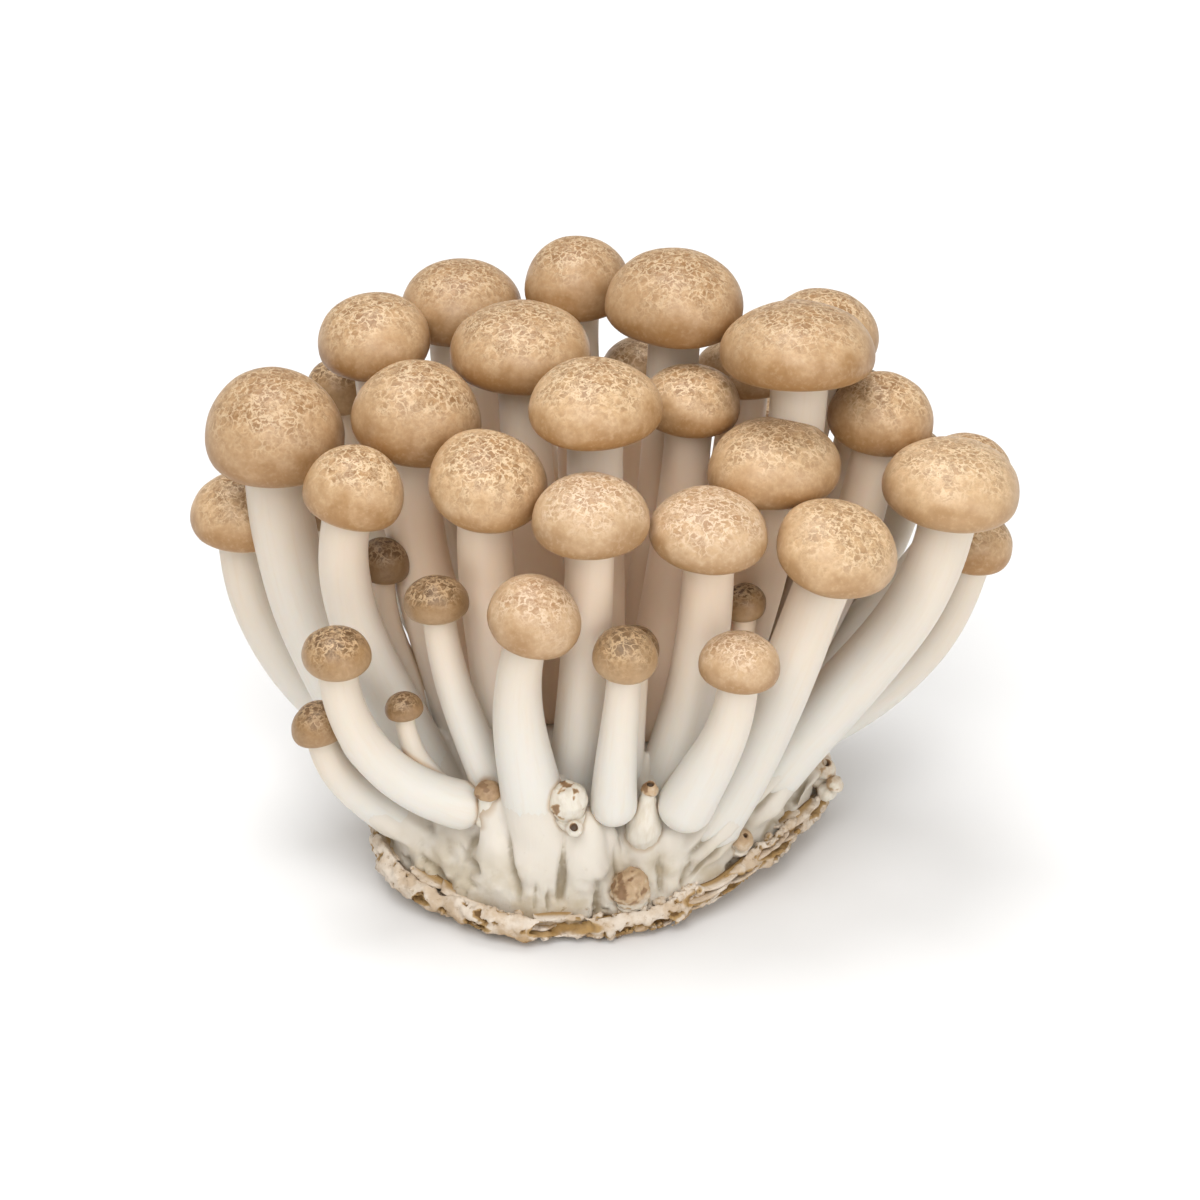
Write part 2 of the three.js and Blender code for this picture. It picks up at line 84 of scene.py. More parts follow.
camera_data = bpy.data.cameras.new("camera")
camera_data.sensor_width = SENSOR
camera_data.lens = SENSOR * FOCAL_SHARE
camera_data.clip_start = 0.01
camera = bpy.data.objects.new("camera", camera_data)
bpy.context.scene.collection.objects.link(camera)
away = Vector((0, -math.cos(LOOK_DOWN), math.sin(LOOK_DOWN)))
camera.location = LOOK_AT + away * DISTANCE
camera.rotation_euler = (math.pi / 2 - LOOK_DOWN, 0, 0)
bpy.context.scene.camera = camera
bpy.context.scene.view_settings.view_transform = "Standard"
print("camera at", [round(value / MM) for value in camera.location], "mm")

# %% [markdown]
# ## Floor and light
# White mushrooms on a white floor need soft light, or the stems burn out: a bright even
# surround, one broad lamp high in front on the left, a weaker one from the right and one
# almost overhead. The lamps are large and high, so shadows under the caps stay soft and the
# floor only darkens close to the crust.

# %% Floor and light
FLOOR_SIZE = 6.0
FLOOR_WHITE = (0.88, 0.88, 0.88, 1)
SURROUND = 0.39
SURROUND_WHITE = (1, 0.985, 0.96, 1)
LAMPS = [                     # place and width in metres, power in watts
    {"name": "key_lamp", "at": (-0.16, -0.66, 0.92), "width": 0.8, "power": 7.2},
    {"name": "fill_lamp", "at": (0.6, -0.85, 0.45), "width": 0.8, "power": 4.0},
    {"name": "top_lamp", "at": (-0.14, 0.26, 1.1), "width": 0.7, "power": 7.0},
]


def make_floor():
    bm = bmesh.new()
    bmesh.ops.create_grid(bm, x_segments=1, y_segments=1, size=FLOOR_SIZE / 2)
    mesh = bpy.data.meshes.new("floor")
    bm.to_mesh(mesh)
    bm.free()
    floor = bpy.data.objects.new("floor", mesh)
    bpy.context.scene.collection.objects.link(floor)
    paint = bpy.data.materials.new("floor_paint")
    paint.use_nodes = True
    surface = paint.node_tree.nodes["Principled BSDF"]
    surface.inputs["Base Color"].default_value = FLOOR_WHITE
    surface.inputs["Roughness"].default_value = 0.9
    surface.inputs["Specular IOR Level"].default_value = 0.1
    mesh.materials.append(paint)
    floor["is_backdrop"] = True


def make_lamp(name, at, width, power):
    data = bpy.data.lights.new(name, "AREA")
    data.shape = "DISK"
    data.size = width
    data.energy = power
    lamp = bpy.data.objects.new(name, data)
    lamp.location = at
    lamp.rotation_euler = (LOOK_AT - lamp.location).to_track_quat("-Z", "Y").to_euler()
    bpy.context.scene.collection.objects.link(lamp)


world = bpy.data.worlds.new("surround")
world.use_nodes = True
glow = world.node_tree.nodes["Background"]
glow.inputs["Color"].default_value = SURROUND_WHITE
glow.inputs["Strength"].default_value = SURROUND
bpy.context.scene.world = world
make_floor()
for settings in LAMPS:
    make_lamp(**settings)
print(len(LAMPS), "lamps over a white floor")

# %% [markdown]
# ## Small tools for materials
# Every skin here is a web of nodes. A few helpers keep that readable: one adds a node and
# fills its inputs, with a plain value or with another node's output, and the others are the
# steps that every skin repeats. Colours are written as web codes and turned into linear
# light. Noise is given in cells to the metre, so 1000 makes spots of about a millimetre.

# %% Node helpers


def put(tree, kind, inputs, **settings):
    """Adds a node, makes its settings and fills its inputs with values or links."""
    node = tree.nodes.new(kind)
    for name, value in settings.items():
        setattr(node, name, value)
    for name, value in inputs.items():
        if isinstance(value, bpy.types.NodeSocket):
            tree.links.new(value, node.inputs[name])
        else:
            node.inputs[name].default_value = value
    return node


def sums(tree, operation, first, second=0.0):
    """One step of arithmetic."""
    return put(tree, "ShaderNodeMath", {0: first, 1: second}, operation=operation).outputs[0]


def plus(tree, first, second):
    return sums(tree, "ADD", first, second)


def times(tree, first, second):
    return sums(tree, "MULTIPLY", first, second)


print("four helpers for nodes")

# %% Masks and colours


def ramp(tree, value, low, high, to_low=0.0, to_high=1.0):
    """Takes low..high smoothly to to_low..to_high."""
    inputs = {"Value": value, "From Min": low, "From Max": high}
    inputs |= {"To Min": to_low, "To Max": to_high}
    return put(tree, "ShaderNodeMapRange", inputs, interpolation_type="SMOOTHSTEP").outputs[0]


def mix(tree, mask, first, second):
    """Goes from the first colour to the second as the mask goes from 0 to 1."""
    node = put(tree, "ShaderNodeMix", {0: mask, 6: first, 7: second}, data_type="RGBA")
    return node.outputs[2]


def grain(tree, where, scale, detail=3.0, rough=0.5):
    """Plain noise, about 0.5 on average."""
    inputs = {"Vector": where, "Scale": scale, "Detail": detail, "Roughness": rough}
    return put(tree, "ShaderNodeTexNoise", inputs).outputs["Fac"]


def reading(tree, name, output="Fac"):
    """What a piece stores at each of its corners under that name."""
    return put(tree, "ShaderNodeAttribute", {}, attribute_name=name).outputs[output]


def place_on_piece(tree):
    """The place on the piece, in its own coordinates."""
    return put(tree, "ShaderNodeTexCoord", {}).outputs["Object"]


def colour(code):
    """A web colour such as #d2ac82 as linear light."""
    shares = [int(code[place:place + 2], 16) / 255 for place in (1, 3, 5)]
    return (*[s / 12.92 if s < 0.04 else ((s + 0.055) / 1.055) ** 2.4 for s in shares], 1)


print("a cap's tan in linear light:", [round(value, 3) for value in colour("#d2ac82")[:3]])

# %% Material helpers


def new_material(name):
    material = bpy.data.materials.new(name)
    material.use_nodes = True
    return material, material.node_tree, material.node_tree.nodes["Principled BSDF"]


def lay_on(tree, surface, shade, relief, strength, depth):
    """Gives the surface its colour and its relief; depth is the relief's, in mm."""
    inputs = {"Height": relief, "Strength": strength, "Distance": depth * MM}
    bump = put(tree, "ShaderNodeBump", inputs)
    tree.links.new(shade, surface.inputs["Base Color"])
    tree.links.new(bump.outputs[0], surface.inputs["Normal"])


def soft_flesh(surface, share, depth, colours=(1.0, 0.6, 0.35)):
    """Lets light sink into the flesh, so many mm deep, red light deepest."""
    surface.inputs["Subsurface Weight"].default_value = share
    surface.inputs["Subsurface Radius"].default_value = colours
    surface.inputs["Subsurface Scale"].default_value = depth * MM


def new_group(name, inputs, outputs):
    """An empty node group; inputs and outputs give each socket's name and kind."""
    tree = bpy.data.node_groups.new(name, "ShaderNodeTree")
    for socket, kind in inputs.items():
        tree.interface.new_socket(socket, in_out="INPUT", socket_type=kind)
    for socket, kind in outputs.items():
        tree.interface.new_socket(socket, in_out="OUTPUT", socket_type=kind)
    return tree, tree.nodes.new("NodeGroupInput").outputs, tree.nodes.new("NodeGroupOutput").inputs


def use_group(tree, group, inputs):
    """Places a node group in a material with its own values."""
    return put(tree, "ShaderNodeGroup", inputs, node_tree=group)


print("five helpers for materials and groups")

# %% [markdown]
# ## The marbled net
# A beech mushroom is known by its crown: a fine pale broken net round small darker blots.
# Cell noise gives such a net at once, as the distance to the nearest cell wall. Left alone
# it looks like a honeycomb, so the coordinates are first bent by smooth noise, broadly and
# then finely, a smaller net is laid over the first, and a third noise wears both away in
# patches. It becomes a node group, because all the caps' skins use it with their own values.

# %% Net group
FLOAT, VECTOR = "NodeSocketFloat", "NodeSocketVector"
FINE_BEND = (2.8, 0.35)       # the second bending's scale and reach, of the first's
FINE_NET = 1.8                # cells of the finer net to one of the coarse net
WEAR_PATCHES = 0.8            # patches where the net is worn, to a cell
BLOTS = 0.75                  # dark blots, to a cell


def pushed(tree, where, scale, reach):
    """Moves a place about by smooth noise, at most by about half the reach."""
    bend = put(tree, "ShaderNodeTexNoise", {"Vector": where, "Scale": scale, "Detail": 2.0})
    centred = put(
        tree, "ShaderNodeVectorMath", {0: bend.outputs["Color"], 1: (0.5, 0.5, 0.5)},
        operation="SUBTRACT",
    ).outputs[0]
    step = put(tree, "ShaderNodeVectorMath", {0: centred, "Scale": reach}, operation="SCALE")
    return put(tree, "ShaderNodeVectorMath", {0: where, 1: step.outputs[0]}).outputs[0]


def net_layer(tree, where, scale, width):
    """Pale lines along the walls between cells."""
    inputs = {"Vector": where, "Scale": scale, "Randomness": 1.0}
    cells = put(tree, "ShaderNodeTexVoronoi", inputs, feature="DISTANCE_TO_EDGE")
    return ramp(tree, cells.outputs["Distance"], 0.0, width, 1.0, 0.0)


def build_net_group():
    tree, given, made = new_group(
        "marbled_net",
        {"Vector": VECTOR, "Scale": FLOAT, "Warp": FLOAT, "Width": FLOAT},
        {"Net": FLOAT, "Islands": FLOAT},
    )
    scale = given["Scale"]
    reach = sums(tree, "DIVIDE", given["Warp"], scale)
    where = pushed(tree, given["Vector"], scale, reach)
    fine_scale, fine_reach = FINE_BEND
    where = pushed(tree, where, times(tree, scale, fine_scale), times(tree, reach, fine_reach))
    coarse = net_layer(tree, where, scale, given["Width"])
    fine = net_layer(tree, where, times(tree, scale, FINE_NET), given["Width"])
    wear = grain(tree, given["Vector"], times(tree, scale, WEAR_PATCHES), 3.0, 0.6)
    coarse_left = times(tree, coarse, ramp(tree, wear, 0.34, 0.52))
    fine_left = times(tree, fine, ramp(tree, wear, 0.56, 0.4, 0.0, 0.5))
    tree.links.new(sums(tree, "MAXIMUM", coarse_left, fine_left), made["Net"])
    blots = grain(tree, where, times(tree, scale, BLOTS), 3.0, 0.6)
    tree.links.new(ramp(tree, blots, 0.36, 0.62), made["Islands"])
    return tree


net_group = build_net_group()
print("net group with", len(net_group.nodes), "nodes")

# %% [markdown]
# ## Cap skin
# The skin is satin, never wet. Its colour runs by height: a pale rolled edge, a tan margin that
# is darker than the middle, partly its own colour and partly painted shade where the cap curls
# under, a paler middle, then browner and marbled towards the crown. Each cap stores that height
# at its corners under the name crown: 1 on top, 0 at the lowest edge and below 0 on the gills,
# which are cream. How much browner one cap is than its neighbours is stored as toasted. The net
# stands a hair proud, so it also feeds a bump.

# %% Cap material
NET_CELLS, MOTTLES, CAP_CLOUDS = 900, 1500, 260
NET_WARP, NET_WIDTH = 1.7, 0.18   # how far the net is bent and how wide its lines are
NET_SHOWS = 0.85              # how much of the skin's own colour a line hides


def cap_material(name, shades, contrast):
    """shades: edge, margin, middle, crown, island, net and gill colours."""
    material, tree, surface = new_material(name)
    edge, margin, middle, top, island, line, gill = [colour(shade) for shade in shades]
    where = place_on_piece(tree)
    crown, toasted = reading(tree, "crown"), reading(tree, "toasted")
    clouds = grain(tree, where, CAP_CLOUDS, 4.0)
    ragged = plus(tree, crown, times(tree, sums(tree, "SUBTRACT", clouds, 0.5), 0.7))
    settings = {"Vector": where, "Scale": NET_CELLS, "Warp": NET_WARP, "Width": NET_WIDTH}
    net = use_group(tree, net_group, settings)
    mottle = grain(tree, where, MOTTLES, 3.0, 0.6)
    # The margin's darker tan is partly its own colour and partly painted shade where it curls
    # under.
    skin = mix(tree, ramp(tree, crown, 0.0, 0.12), edge, margin)
    skin = mix(tree, ramp(tree, ragged, 0.16, 0.5), skin, middle)
    skin = mix(tree, ramp(tree, ragged, 0.55, 0.95), skin, top)
    marbled = ramp(tree, ragged, 0.3, 0.75)
    dark = times(tree, times(tree, net.outputs["Islands"], marbled), contrast)
    skin = mix(tree, dark, skin, island)
    pale = times(tree, times(tree, net.outputs["Net"], marbled), NET_SHOWS)
    skin = mix(tree, pale, skin, line)
    skin = mix(tree, ramp(tree, mottle, 0.5, 0.7, 0.0, 0.16), skin, line)
    skin = mix(tree, ramp(tree, mottle, 0.5, 0.3, 0.0, 0.16), skin, island)
    skin = mix(tree, sums(tree, "MAXIMUM", toasted), skin, island)
    skin = mix(tree, times(tree, toasted, -1.0), skin, line)
    skin = mix(tree, ramp(tree, crown, -0.02, -0.12), skin, gill)
    relief = plus(tree, pale, times(tree, mottle, 0.5))
    lay_on(tree, surface, skin, relief, 0.25, 0.05)
    tree.links.new(ramp(tree, pale, 0.0, 1.0, 0.42, 0.52), surface.inputs["Roughness"])
    surface.inputs["Specular IOR Level"].default_value = 0.4
    soft_flesh(surface, 0.1, 0.6, (1.0, 0.55, 0.3))
    return material


print("a cell of the net is", round(1 / NET_CELLS / MM, 1), "mm wide")

# %% Cap skins
grown_skin = cap_material(
    "grown_cap_skin",
    ("#bf9d71", "#a27a4d", "#c4a179", "#a47c50", "#825d38", "#e3c9a5", "#e0d0b6"), 0.7,
)
young_skin = cap_material(
    "young_cap_skin",
    ("#cdb38f", "#a68661", "#9c7a53", "#745434", "#563c23", "#cfb18a", "#d9c7ab"), 0.8,
)
honey_skin = cap_material(
    "honey_cap_skin",
    ("#c6a883", "#a47f56", "#c6a681", "#b38f69", "#966f4b", "#e4cdb0", "#e0d0b6"), 0.65,
)
print("three cap skins")

# %% [markdown]
# ## Stem flesh
# Stems are white, firm and faintly fibrous along their length. The fibres must follow every
# bend, so each stem stores, before it is bent, where each corner lies on the straight bar it
# is made from. Noise that is squeezed across that bar and stretched along it makes the
# fibres. Light sinks a little way into such flesh, which softens its shadows.

# %% Fibres


def build_fibre_group():
    tree, given, made = new_group(
        "fibres", {"Vector": VECTOR, "Across": FLOAT, "Along": FLOAT}, {"Fibres": FLOAT},
    )
    squeeze = put(
        tree, "ShaderNodeCombineXYZ",
        {"X": given["Across"], "Y": given["Across"], "Z": given["Along"]},
    ).outputs[0]
    where = put(
        tree, "ShaderNodeVectorMath", {0: given["Vector"], 1: squeeze}, operation="MULTIPLY",
    ).outputs[0]
    tree.links.new(grain(tree, where, 1.0, 4.0, 0.6), made["Fibres"])
    return tree


fibre_group = build_fibre_group()


def fibres(tree, where, across, along):
    """The fibres' pattern on that place, so many to the metre each way."""
    node = use_group(tree, fibre_group, {"Vector": where, "Across": across, "Along": along})
    return node.outputs["Fibres"]


print("fibre group with", len(fibre_group.nodes), "nodes")

# %% Stem material
STEM_STRANDS = (1600, 90)     # strands and bands to the metre, across and along the stem
STEM_BANDS = (420, 45)


def stem_material():
    material, tree, surface = new_material("stem_flesh")
    straight = reading(tree, "straight", "Vector")
    height = reading(tree, "along")
    strands = fibres(tree, straight, *STEM_STRANDS)
    bands = fibres(tree, straight, *STEM_BANDS)
    # Warmer and darker towards the cap: partly the flesh's own tone, partly painted shade under the
    # cap.
    flesh = mix(tree, ramp(tree, height, 0.15, 1.0), colour("#dad6ce"), colour("#dacdbc"))
    flesh = mix(tree, ramp(tree, bands, 0.45, 0.75, 0.0, 0.2), flesh, colour("#dcc7ab"))
    flesh = mix(tree, ramp(tree, strands, 0.5, 0.72, 0.0, 0.12), flesh, colour("#d2bb9b"))
    # Painted shade: deep in the middle of the cluster the stems are tinted warm tan, the colour of
    # the shade and bounced light there.
    flesh = mix(tree, times(tree, reading(tree, "painted_inner_shade"), 0.75), flesh, colour("#f1d3b4"))
    # Painted shade: a brown line where this stem nearly touches another piece.
    touched = ramp(tree, reading(tree, "painted_contact_shade"), 0.3, 1.0, 0.0, 0.7)
    flesh = mix(tree, touched, flesh, colour("#bd9c74"))
    lay_on(tree, surface, flesh, strands, 0.2, 0.08)
    tree.links.new(ramp(tree, strands, 0.3, 0.7, 0.42, 0.55), surface.inputs["Roughness"])
    surface.inputs["Specular IOR Level"].default_value = 0.4
    soft_flesh(surface, 0.3, 1.2)
    return material


stem_flesh = stem_material()
print("stem flesh ready")

# %% [markdown]
# ## Turned bodies
# Caps, stems and pins all begin as a profile spun round the upright axis, the way a potter
# would make them. A third number at each point of the profile is stored on the mesh and
# travels round with it. Spinning leaves a ring of copies at each pole, so doubles are merged
# and the faces are then turned to look outwards.

# %% Turned and finished pieces
POLE_MERGE = 0.0005 * MM


def spun(profile, sides, mark):
    """A closed body from a profile of (radius, height, value); mark names the value."""
    bm = bmesh.new()
    layer = bm.verts.layers.float.new(mark)
    corners = []
    for radius, height, value in profile:
        corner = bm.verts.new((radius, 0, height))
        corner[layer] = value
        corners.append(corner)
    edges = [bm.edges.new(pair) for pair in zip(corners, corners[1:])]
    bmesh.ops.spin(
        bm, geom=corners + edges, axis=(0, 0, 1), cent=(0, 0, 0),
        angle=2 * math.pi, steps=sides, use_merge=True,
    )
    bmesh.ops.remove_doubles(bm, verts=bm.verts, dist=POLE_MERGE)
    bmesh.ops.recalc_face_normals(bm, faces=bm.faces)
    return bm


def finish_piece(bm, name, material, node=None):
    """Makes the bmesh a piece of the cluster that stands for a solid, if one is named."""
    mesh = bpy.data.meshes.new(name)
    bm.to_mesh(mesh)
    bm.free()
    mesh.shade_smooth()
    mesh.materials.append(material)
    piece = bpy.data.objects.new(name, mesh)
    bpy.context.scene.collection.objects.link(piece)
    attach(piece, "root")
    if node:
        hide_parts(node)
    return piece


print("corners nearer than", POLE_MERGE / MM, "mm are merged at the poles")

# %% [markdown]
# ## Where each cap sits
# A faceted cap tells all that is needed. Its two poles are the corners where the most edges
# meet, so they give its axis, its height and its place. The corners of its widest ring give
# its radius and how far it is from round, which is kept as three slow waves, so that the
# fine cap bulges and droops exactly where the plain one does.

# %% Read a cap from the frame
GILL_SEAT = 0.2               # height of a solid's lower pole, as a share of the cap's height
WIDEST = 0.34                 # height of a solid's widest ring, same share
WIDEST_BAND = (0.22, 0.5)     # that ring's corners all lie between these heights
TRUE_REACH = 0.6              # corners further in than this, of the widest, aren't on the ring
SAME_SPOT = 0.01 * MM         # corners of loose triangles nearer than this are one


def waves(samples):
    """The first three waves round a ring of evenly spread (angle, value) pairs."""
    count = len(samples)
    found = []
    for turn in (1, 2, 3):
        cosine = 2 / count * sum(value * math.cos(turn * angle) for angle, value in samples)
        sine = 2 / count * sum(value * math.sin(turn * angle) for angle, value in samples)
        found.append((turn, cosine, sine))
    return found


def wave_at(found, angle):
    return sum(c * math.cos(turn * angle) + s * math.sin(turn * angle) for turn, c, s in found)


def copy_of(node_name):
    """A solid's mesh with its loose triangles joined up."""
    bm = bmesh.new()
    bm.from_mesh(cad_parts[node_name].data)
    bmesh.ops.remove_doubles(bm, verts=bm.verts, dist=SAME_SPOT)
    return bm


def read_cap(node_name):
    bm = copy_of(node_name)
    poles = sorted(bm.verts, key=lambda vert: len(vert.link_edges))[-2:]
    low, high = sorted((vert.co.copy() for vert in poles), key=lambda place: place.z)
    axis = (high - low).normalized()
    rise = (high - low).length / (1 - GILL_SEAT)
    base = low - axis * GILL_SEAT * rise
    side = axis.orthogonal().normalized()
    other = axis.cross(side)
    ring = []
    for vert in bm.verts:
        off = vert.co - base
        level = off.dot(axis) / rise
        across = (off.dot(side), off.dot(other))
        if WIDEST_BAND[0] < level < WIDEST_BAND[1]:
            ring.append((math.atan2(across[1], across[0]), math.hypot(*across), level))
    bm.free()
    radius = sum(reach for _, reach, _ in ring) / len(ring)
    widest = max(reach for _, reach, _ in ring)
    ring = [row for row in ring if row[1] > TRUE_REACH * widest]
    return {
        "base": base, "axis": axis, "side": side, "other": other, "rise": rise, "radius": radius,
        "bulge": waves([(angle, reach / radius - 1) for angle, reach, _ in ring]),
        "droop": waves([(angle, level - WIDEST) for angle, _, level in ring]),
    }


CAP_COUNT = sum(name.startswith("cap_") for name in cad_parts)
caps = [read_cap(f"cap_{number:02d}") for number in range(1, CAP_COUNT + 1)]
widths = sorted(round(2 * cap["radius"] / MM, 1) for cap in caps)
print(CAP_COUNT, "caps from", widths[0], "to", widths[-1], "mm wide")

# %% [markdown]
# ## Caps
# The profile of a cap is drawn once, as shares of its radius and height: a flat seat for the
# stem, gills that fall to the margin, a quarter ellipse for the rolled margin and a slightly
# boxy dome above it. Of the corners round the underside every other one is pushed up and the
# rest down, which folds it into gills. Slow noise keeps any two caps from being twins.

# %% Cap profile
MARGIN_CENTRE = 0.83          # where the rolled margin's ellipse is centred, of the radius
MARGIN_RISE = 0.26            # height up to which the margin curls in underneath
DOME_POWER = 2.1              # 2 is an ellipse; more is boxier
GILL_END = 0.76               # where the gills stop short of the margin, of the radius
GILL_LOW = 0.06               # how high the gills are there, of the height
LOW_EDGE = (0.777, 0.012)     # reach and height of the cap's lowest edge
GILL_STEPS = 7
MARGIN_STEPS = 6
DOME_STEPS = 18
ON_GILLS = -0.3               # the crown value of the gills
WIDEST_MARK = 0.25            # the crown value at the widest ring
SEAT_ROOM = 0.3 * MM          # flat ring left round the stem


def quarter(steps):
    """Angles from 0 to a right angle."""
    return [math.pi / 2 * step / steps for step in range(steps + 1)]


def cap_profile(radius, rise, stem_radius):
    seat = stem_radius + SEAT_ROOM
    end = GILL_END * radius
    points = [(0, GILL_SEAT * rise, ON_GILLS)]
    for step in range(GILL_STEPS + 1):
        share = step / GILL_STEPS
        level = (GILL_SEAT + (GILL_LOW - GILL_SEAT) * share) * rise
        points.append((seat + (end - seat) * share, level, ON_GILLS))
    points.append((LOW_EDGE[0] * radius, LOW_EDGE[1] * rise, 0))
    for angle in reversed(quarter(MARGIN_STEPS)):
        reach = MARGIN_CENTRE + (1 - MARGIN_CENTRE) * math.cos(angle)
        level = MARGIN_RISE * (1 - math.sin(angle))
        mark = WIDEST_MARK * (1 - angle / (math.pi / 2))
        points.append((reach * radius, level * rise, mark))
    for angle in quarter(DOME_STEPS)[1:]:
        reach = max(0, math.cos(angle)) ** (2 / DOME_POWER)
        level = MARGIN_RISE + (1 - MARGIN_RISE) * math.sin(angle) ** (2 / DOME_POWER)
        mark = WIDEST_MARK + (1 - WIDEST_MARK) * angle / (math.pi / 2)
        points.append((reach * radius, level * rise, mark))
    return points


print("a cap's profile has", len(cap_profile(1, 1, 0.4)), "points")

# %% Cap shape
GILL_DEPTH = 0.05             # how far a gill stands out each way, of the height
LUMPS = ((0.9, 0.035), (0.35, 0.009))   # size and height of the slow and quick lumps
LUMP_CENTRE = 0.4             # lumps point away from this height on the axis


def smooth(low, high, value):
    """Goes from 0 at low to 1 at high without a corner."""
    share = min(1, max(0, (value - low) / (high - low)))
    return share * share * (3 - 2 * share)


def shape_cap(bm, cap, sides, seat):
    """Folds the gills, makes the cap uneven and sets it in its place."""
    crown = bm.verts.layers.float["crown"]
    radius, rise = cap["radius"], cap["rise"]
    end = GILL_END * radius
    for vert in bm.verts:
        x, y, z = vert.co
        angle, reach = math.atan2(y, x), math.hypot(x, y)
        if vert[crown] < 0 and seat * 1.01 < reach < end * 0.99:
            share = (reach - seat) / (end - seat)
            fold = 1 if round(angle / (2 * math.pi) * sides) % 2 else -1
            z += fold * GILL_DEPTH * rise * min(1, 4 * share, 4 * (1 - share))
        keep = smooth(0.45, 0.8, reach / radius) if vert[crown] < 0.01 else 1
        swell = 1 + keep * wave_at(cap["bulge"], angle)
        z += keep * (reach / radius) ** 2 * wave_at(cap["droop"], angle) * rise
        place = cap["base"] + cap["side"] * x * swell + cap["other"] * y * swell + cap["axis"] * z
        lumpy = sum(height * noise.noise(place / (size * radius)) for size, height in LUMPS)
        lump = lumpy * radius * keep * smooth(-0.1, 0.2, vert[crown])
        out = (place - cap["base"] - cap["axis"] * LUMP_CENTRE * rise).normalized()
        vert.co = place + out * lump


print("a gill stands out", GILL_DEPTH, "of its cap's height")

# %% How each cap differs
GROWN_SIDES, YOUNG_SIDES = 96, 72
YOUNG_WIDTH = 10.6 * MM       # narrower caps are young ones
HONEY_CAPS = (12, 16, 28, 36)
# How much browner than the rest some caps are, or paler if below 0.
TOASTED = {
    1: 0.2, 4: 0.1, 6: 0.1, 7: 0.2, 9: 0.1, 10: 0.2, 13: 0.2, 17: -0.05, 18: 0.12, 19: 0.1,
    21: -0.1, 22: -0.15, 28: 0.1, 29: 0.1, 30: 0.4, 32: 0.15, 33: 0.3, 34: -0.15, 35: 0.5,
    37: 0.2,
}
# Each stem, in the caps' order and in mm: its radius under the cap and at the root, the place
# where it starts in the block, and how far it sets off along X and Y for each mm up.
STEMS = [
    ((4.4, 4.6), (-26, -8, 11), (-0.8, 0.25)),
    ((3.2, 3.6), (-26, 1, 10), (-2.2, 0.5)),
    ((3.2, 4.2), (-23, -11, 13), (-0.35, 0)),
    ((3.2, 3.6), (-18, 6, 14), (-0.35, 0.2)),
    ((2.2, 2.8), (-19, 12, 13), (-0.6, 0.35)),
    ((4, 4.4), (-18, -6, 15), (-0.2, 0.1)),
    ((4.6, 4.2), (-10, 10, 15), (-0.25, 0.35)),
    ((3.7, 4), (-13, -13, 16), (-0.05, 0.05)),
    ((3.4, 3.8), (-7, 3, 16), (-0.1, 0.15)),
    ((3, 3.6), (-2, 12, 15), (-0.05, 0.35)),
    ((3.7, 4), (-1, -5, 17), (0, 0)),
    ((3.1, 3.9), (-4.5, -16, 16), (0.1, -0.1)),
    ((3.5, 4), (5, 6, 16), (0.1, 0.2)),
    ((2.6, 3.2), (3, 15, 14), (0.05, 0.35)),
    ((3.2, 3.8), (5, -3, 17), (0.15, 0.15)),
    ((3.4, 4), (7, -16, 15), (0.3, -0.1)),
    ((3.6, 4), (13, -5, 16), (0.25, 0)),
    ((3.8, 4), (12, 2, 16), (0.25, 0.05)),
    ((3.8, 4), (14, 10, 14), (0.4, 0.3)),
    ((3.3, 3.8), (19, 2, 14), (0.6, 0.15)),
    ((3.7, 4.2), (12.5, -18.5, 10), (0.6, 0.15)),
    ((3.8, 4.6), (20, -11, 13.5), (0.85, 0.4)),
    ((3.3, 3.6), (20, 5, 13), (0.8, 0.2)),
    ((2.7, 3.8), (23, 0, 14.5), (2.8, 0.2)),
    ((3.4, 3.6), (9, 12, 14), (0.25, 0.35)),
    ((2.5, 3), (22, 9, 12), (0.7, 0.3)),
    ((2.8, 3), (18, 12, 13), (0.5, 0.35)),
    ((2.7, 4.8), (-9, -22, 14.5), (-0.14, -0.15)),
    ((2.2, 3), (-14.5, -18, 17), (-0.35, 0)),
    ((1.8, 2.4), (-22, -5, 15), (-0.3, 0)),
    ((2.6, 3.5), (-16.8, -19.8, 16.2), (-3, -0.6)),
    ((2, 3), (-27, -16, 11), (-1.2, 0)),
    ((1.3, 2), (-21, -16, 15), (-0.5, -0.3)),
    ((2.2, 3.4), (1, -23, 16.5), (0, -0.15)),
    ((1.6, 2.2), (3, -18, 17), (0, 0)),
    ((2.6, 4.2), (9.5, -22, 15.5), (0.35, -0.2)),
    ((1.6, 2.2), (14, -11, 16), (0.15, 0)),
    ((2.9, 3.4), (-13, 14, 13), (-0.35, 0.6)),
    ((3.1, 3.6), (-2, 16, 13), (0.1, 0.6)),
    ((2.8, 3.4), (4, 18, 12), (0.1, 0.9)),
    ((2.8, 3.4), (12, 16, 12), (0.5, 0.8)),
    ((2.4, 3.2), (-21, 8, 11), (-1, 0.7)),
    ((2.2, 3), (19, 13, 11), (0.8, 0.9)),
]
print(len(STEMS), "stems for", CAP_COUNT, "caps")

# %% Build the caps


def store_value(bm, name, value):
    """Gives every corner of a body the same value under that name."""
    layer = bm.verts.layers.float.new(name)
    for vert in bm.verts:
        vert[layer] = value


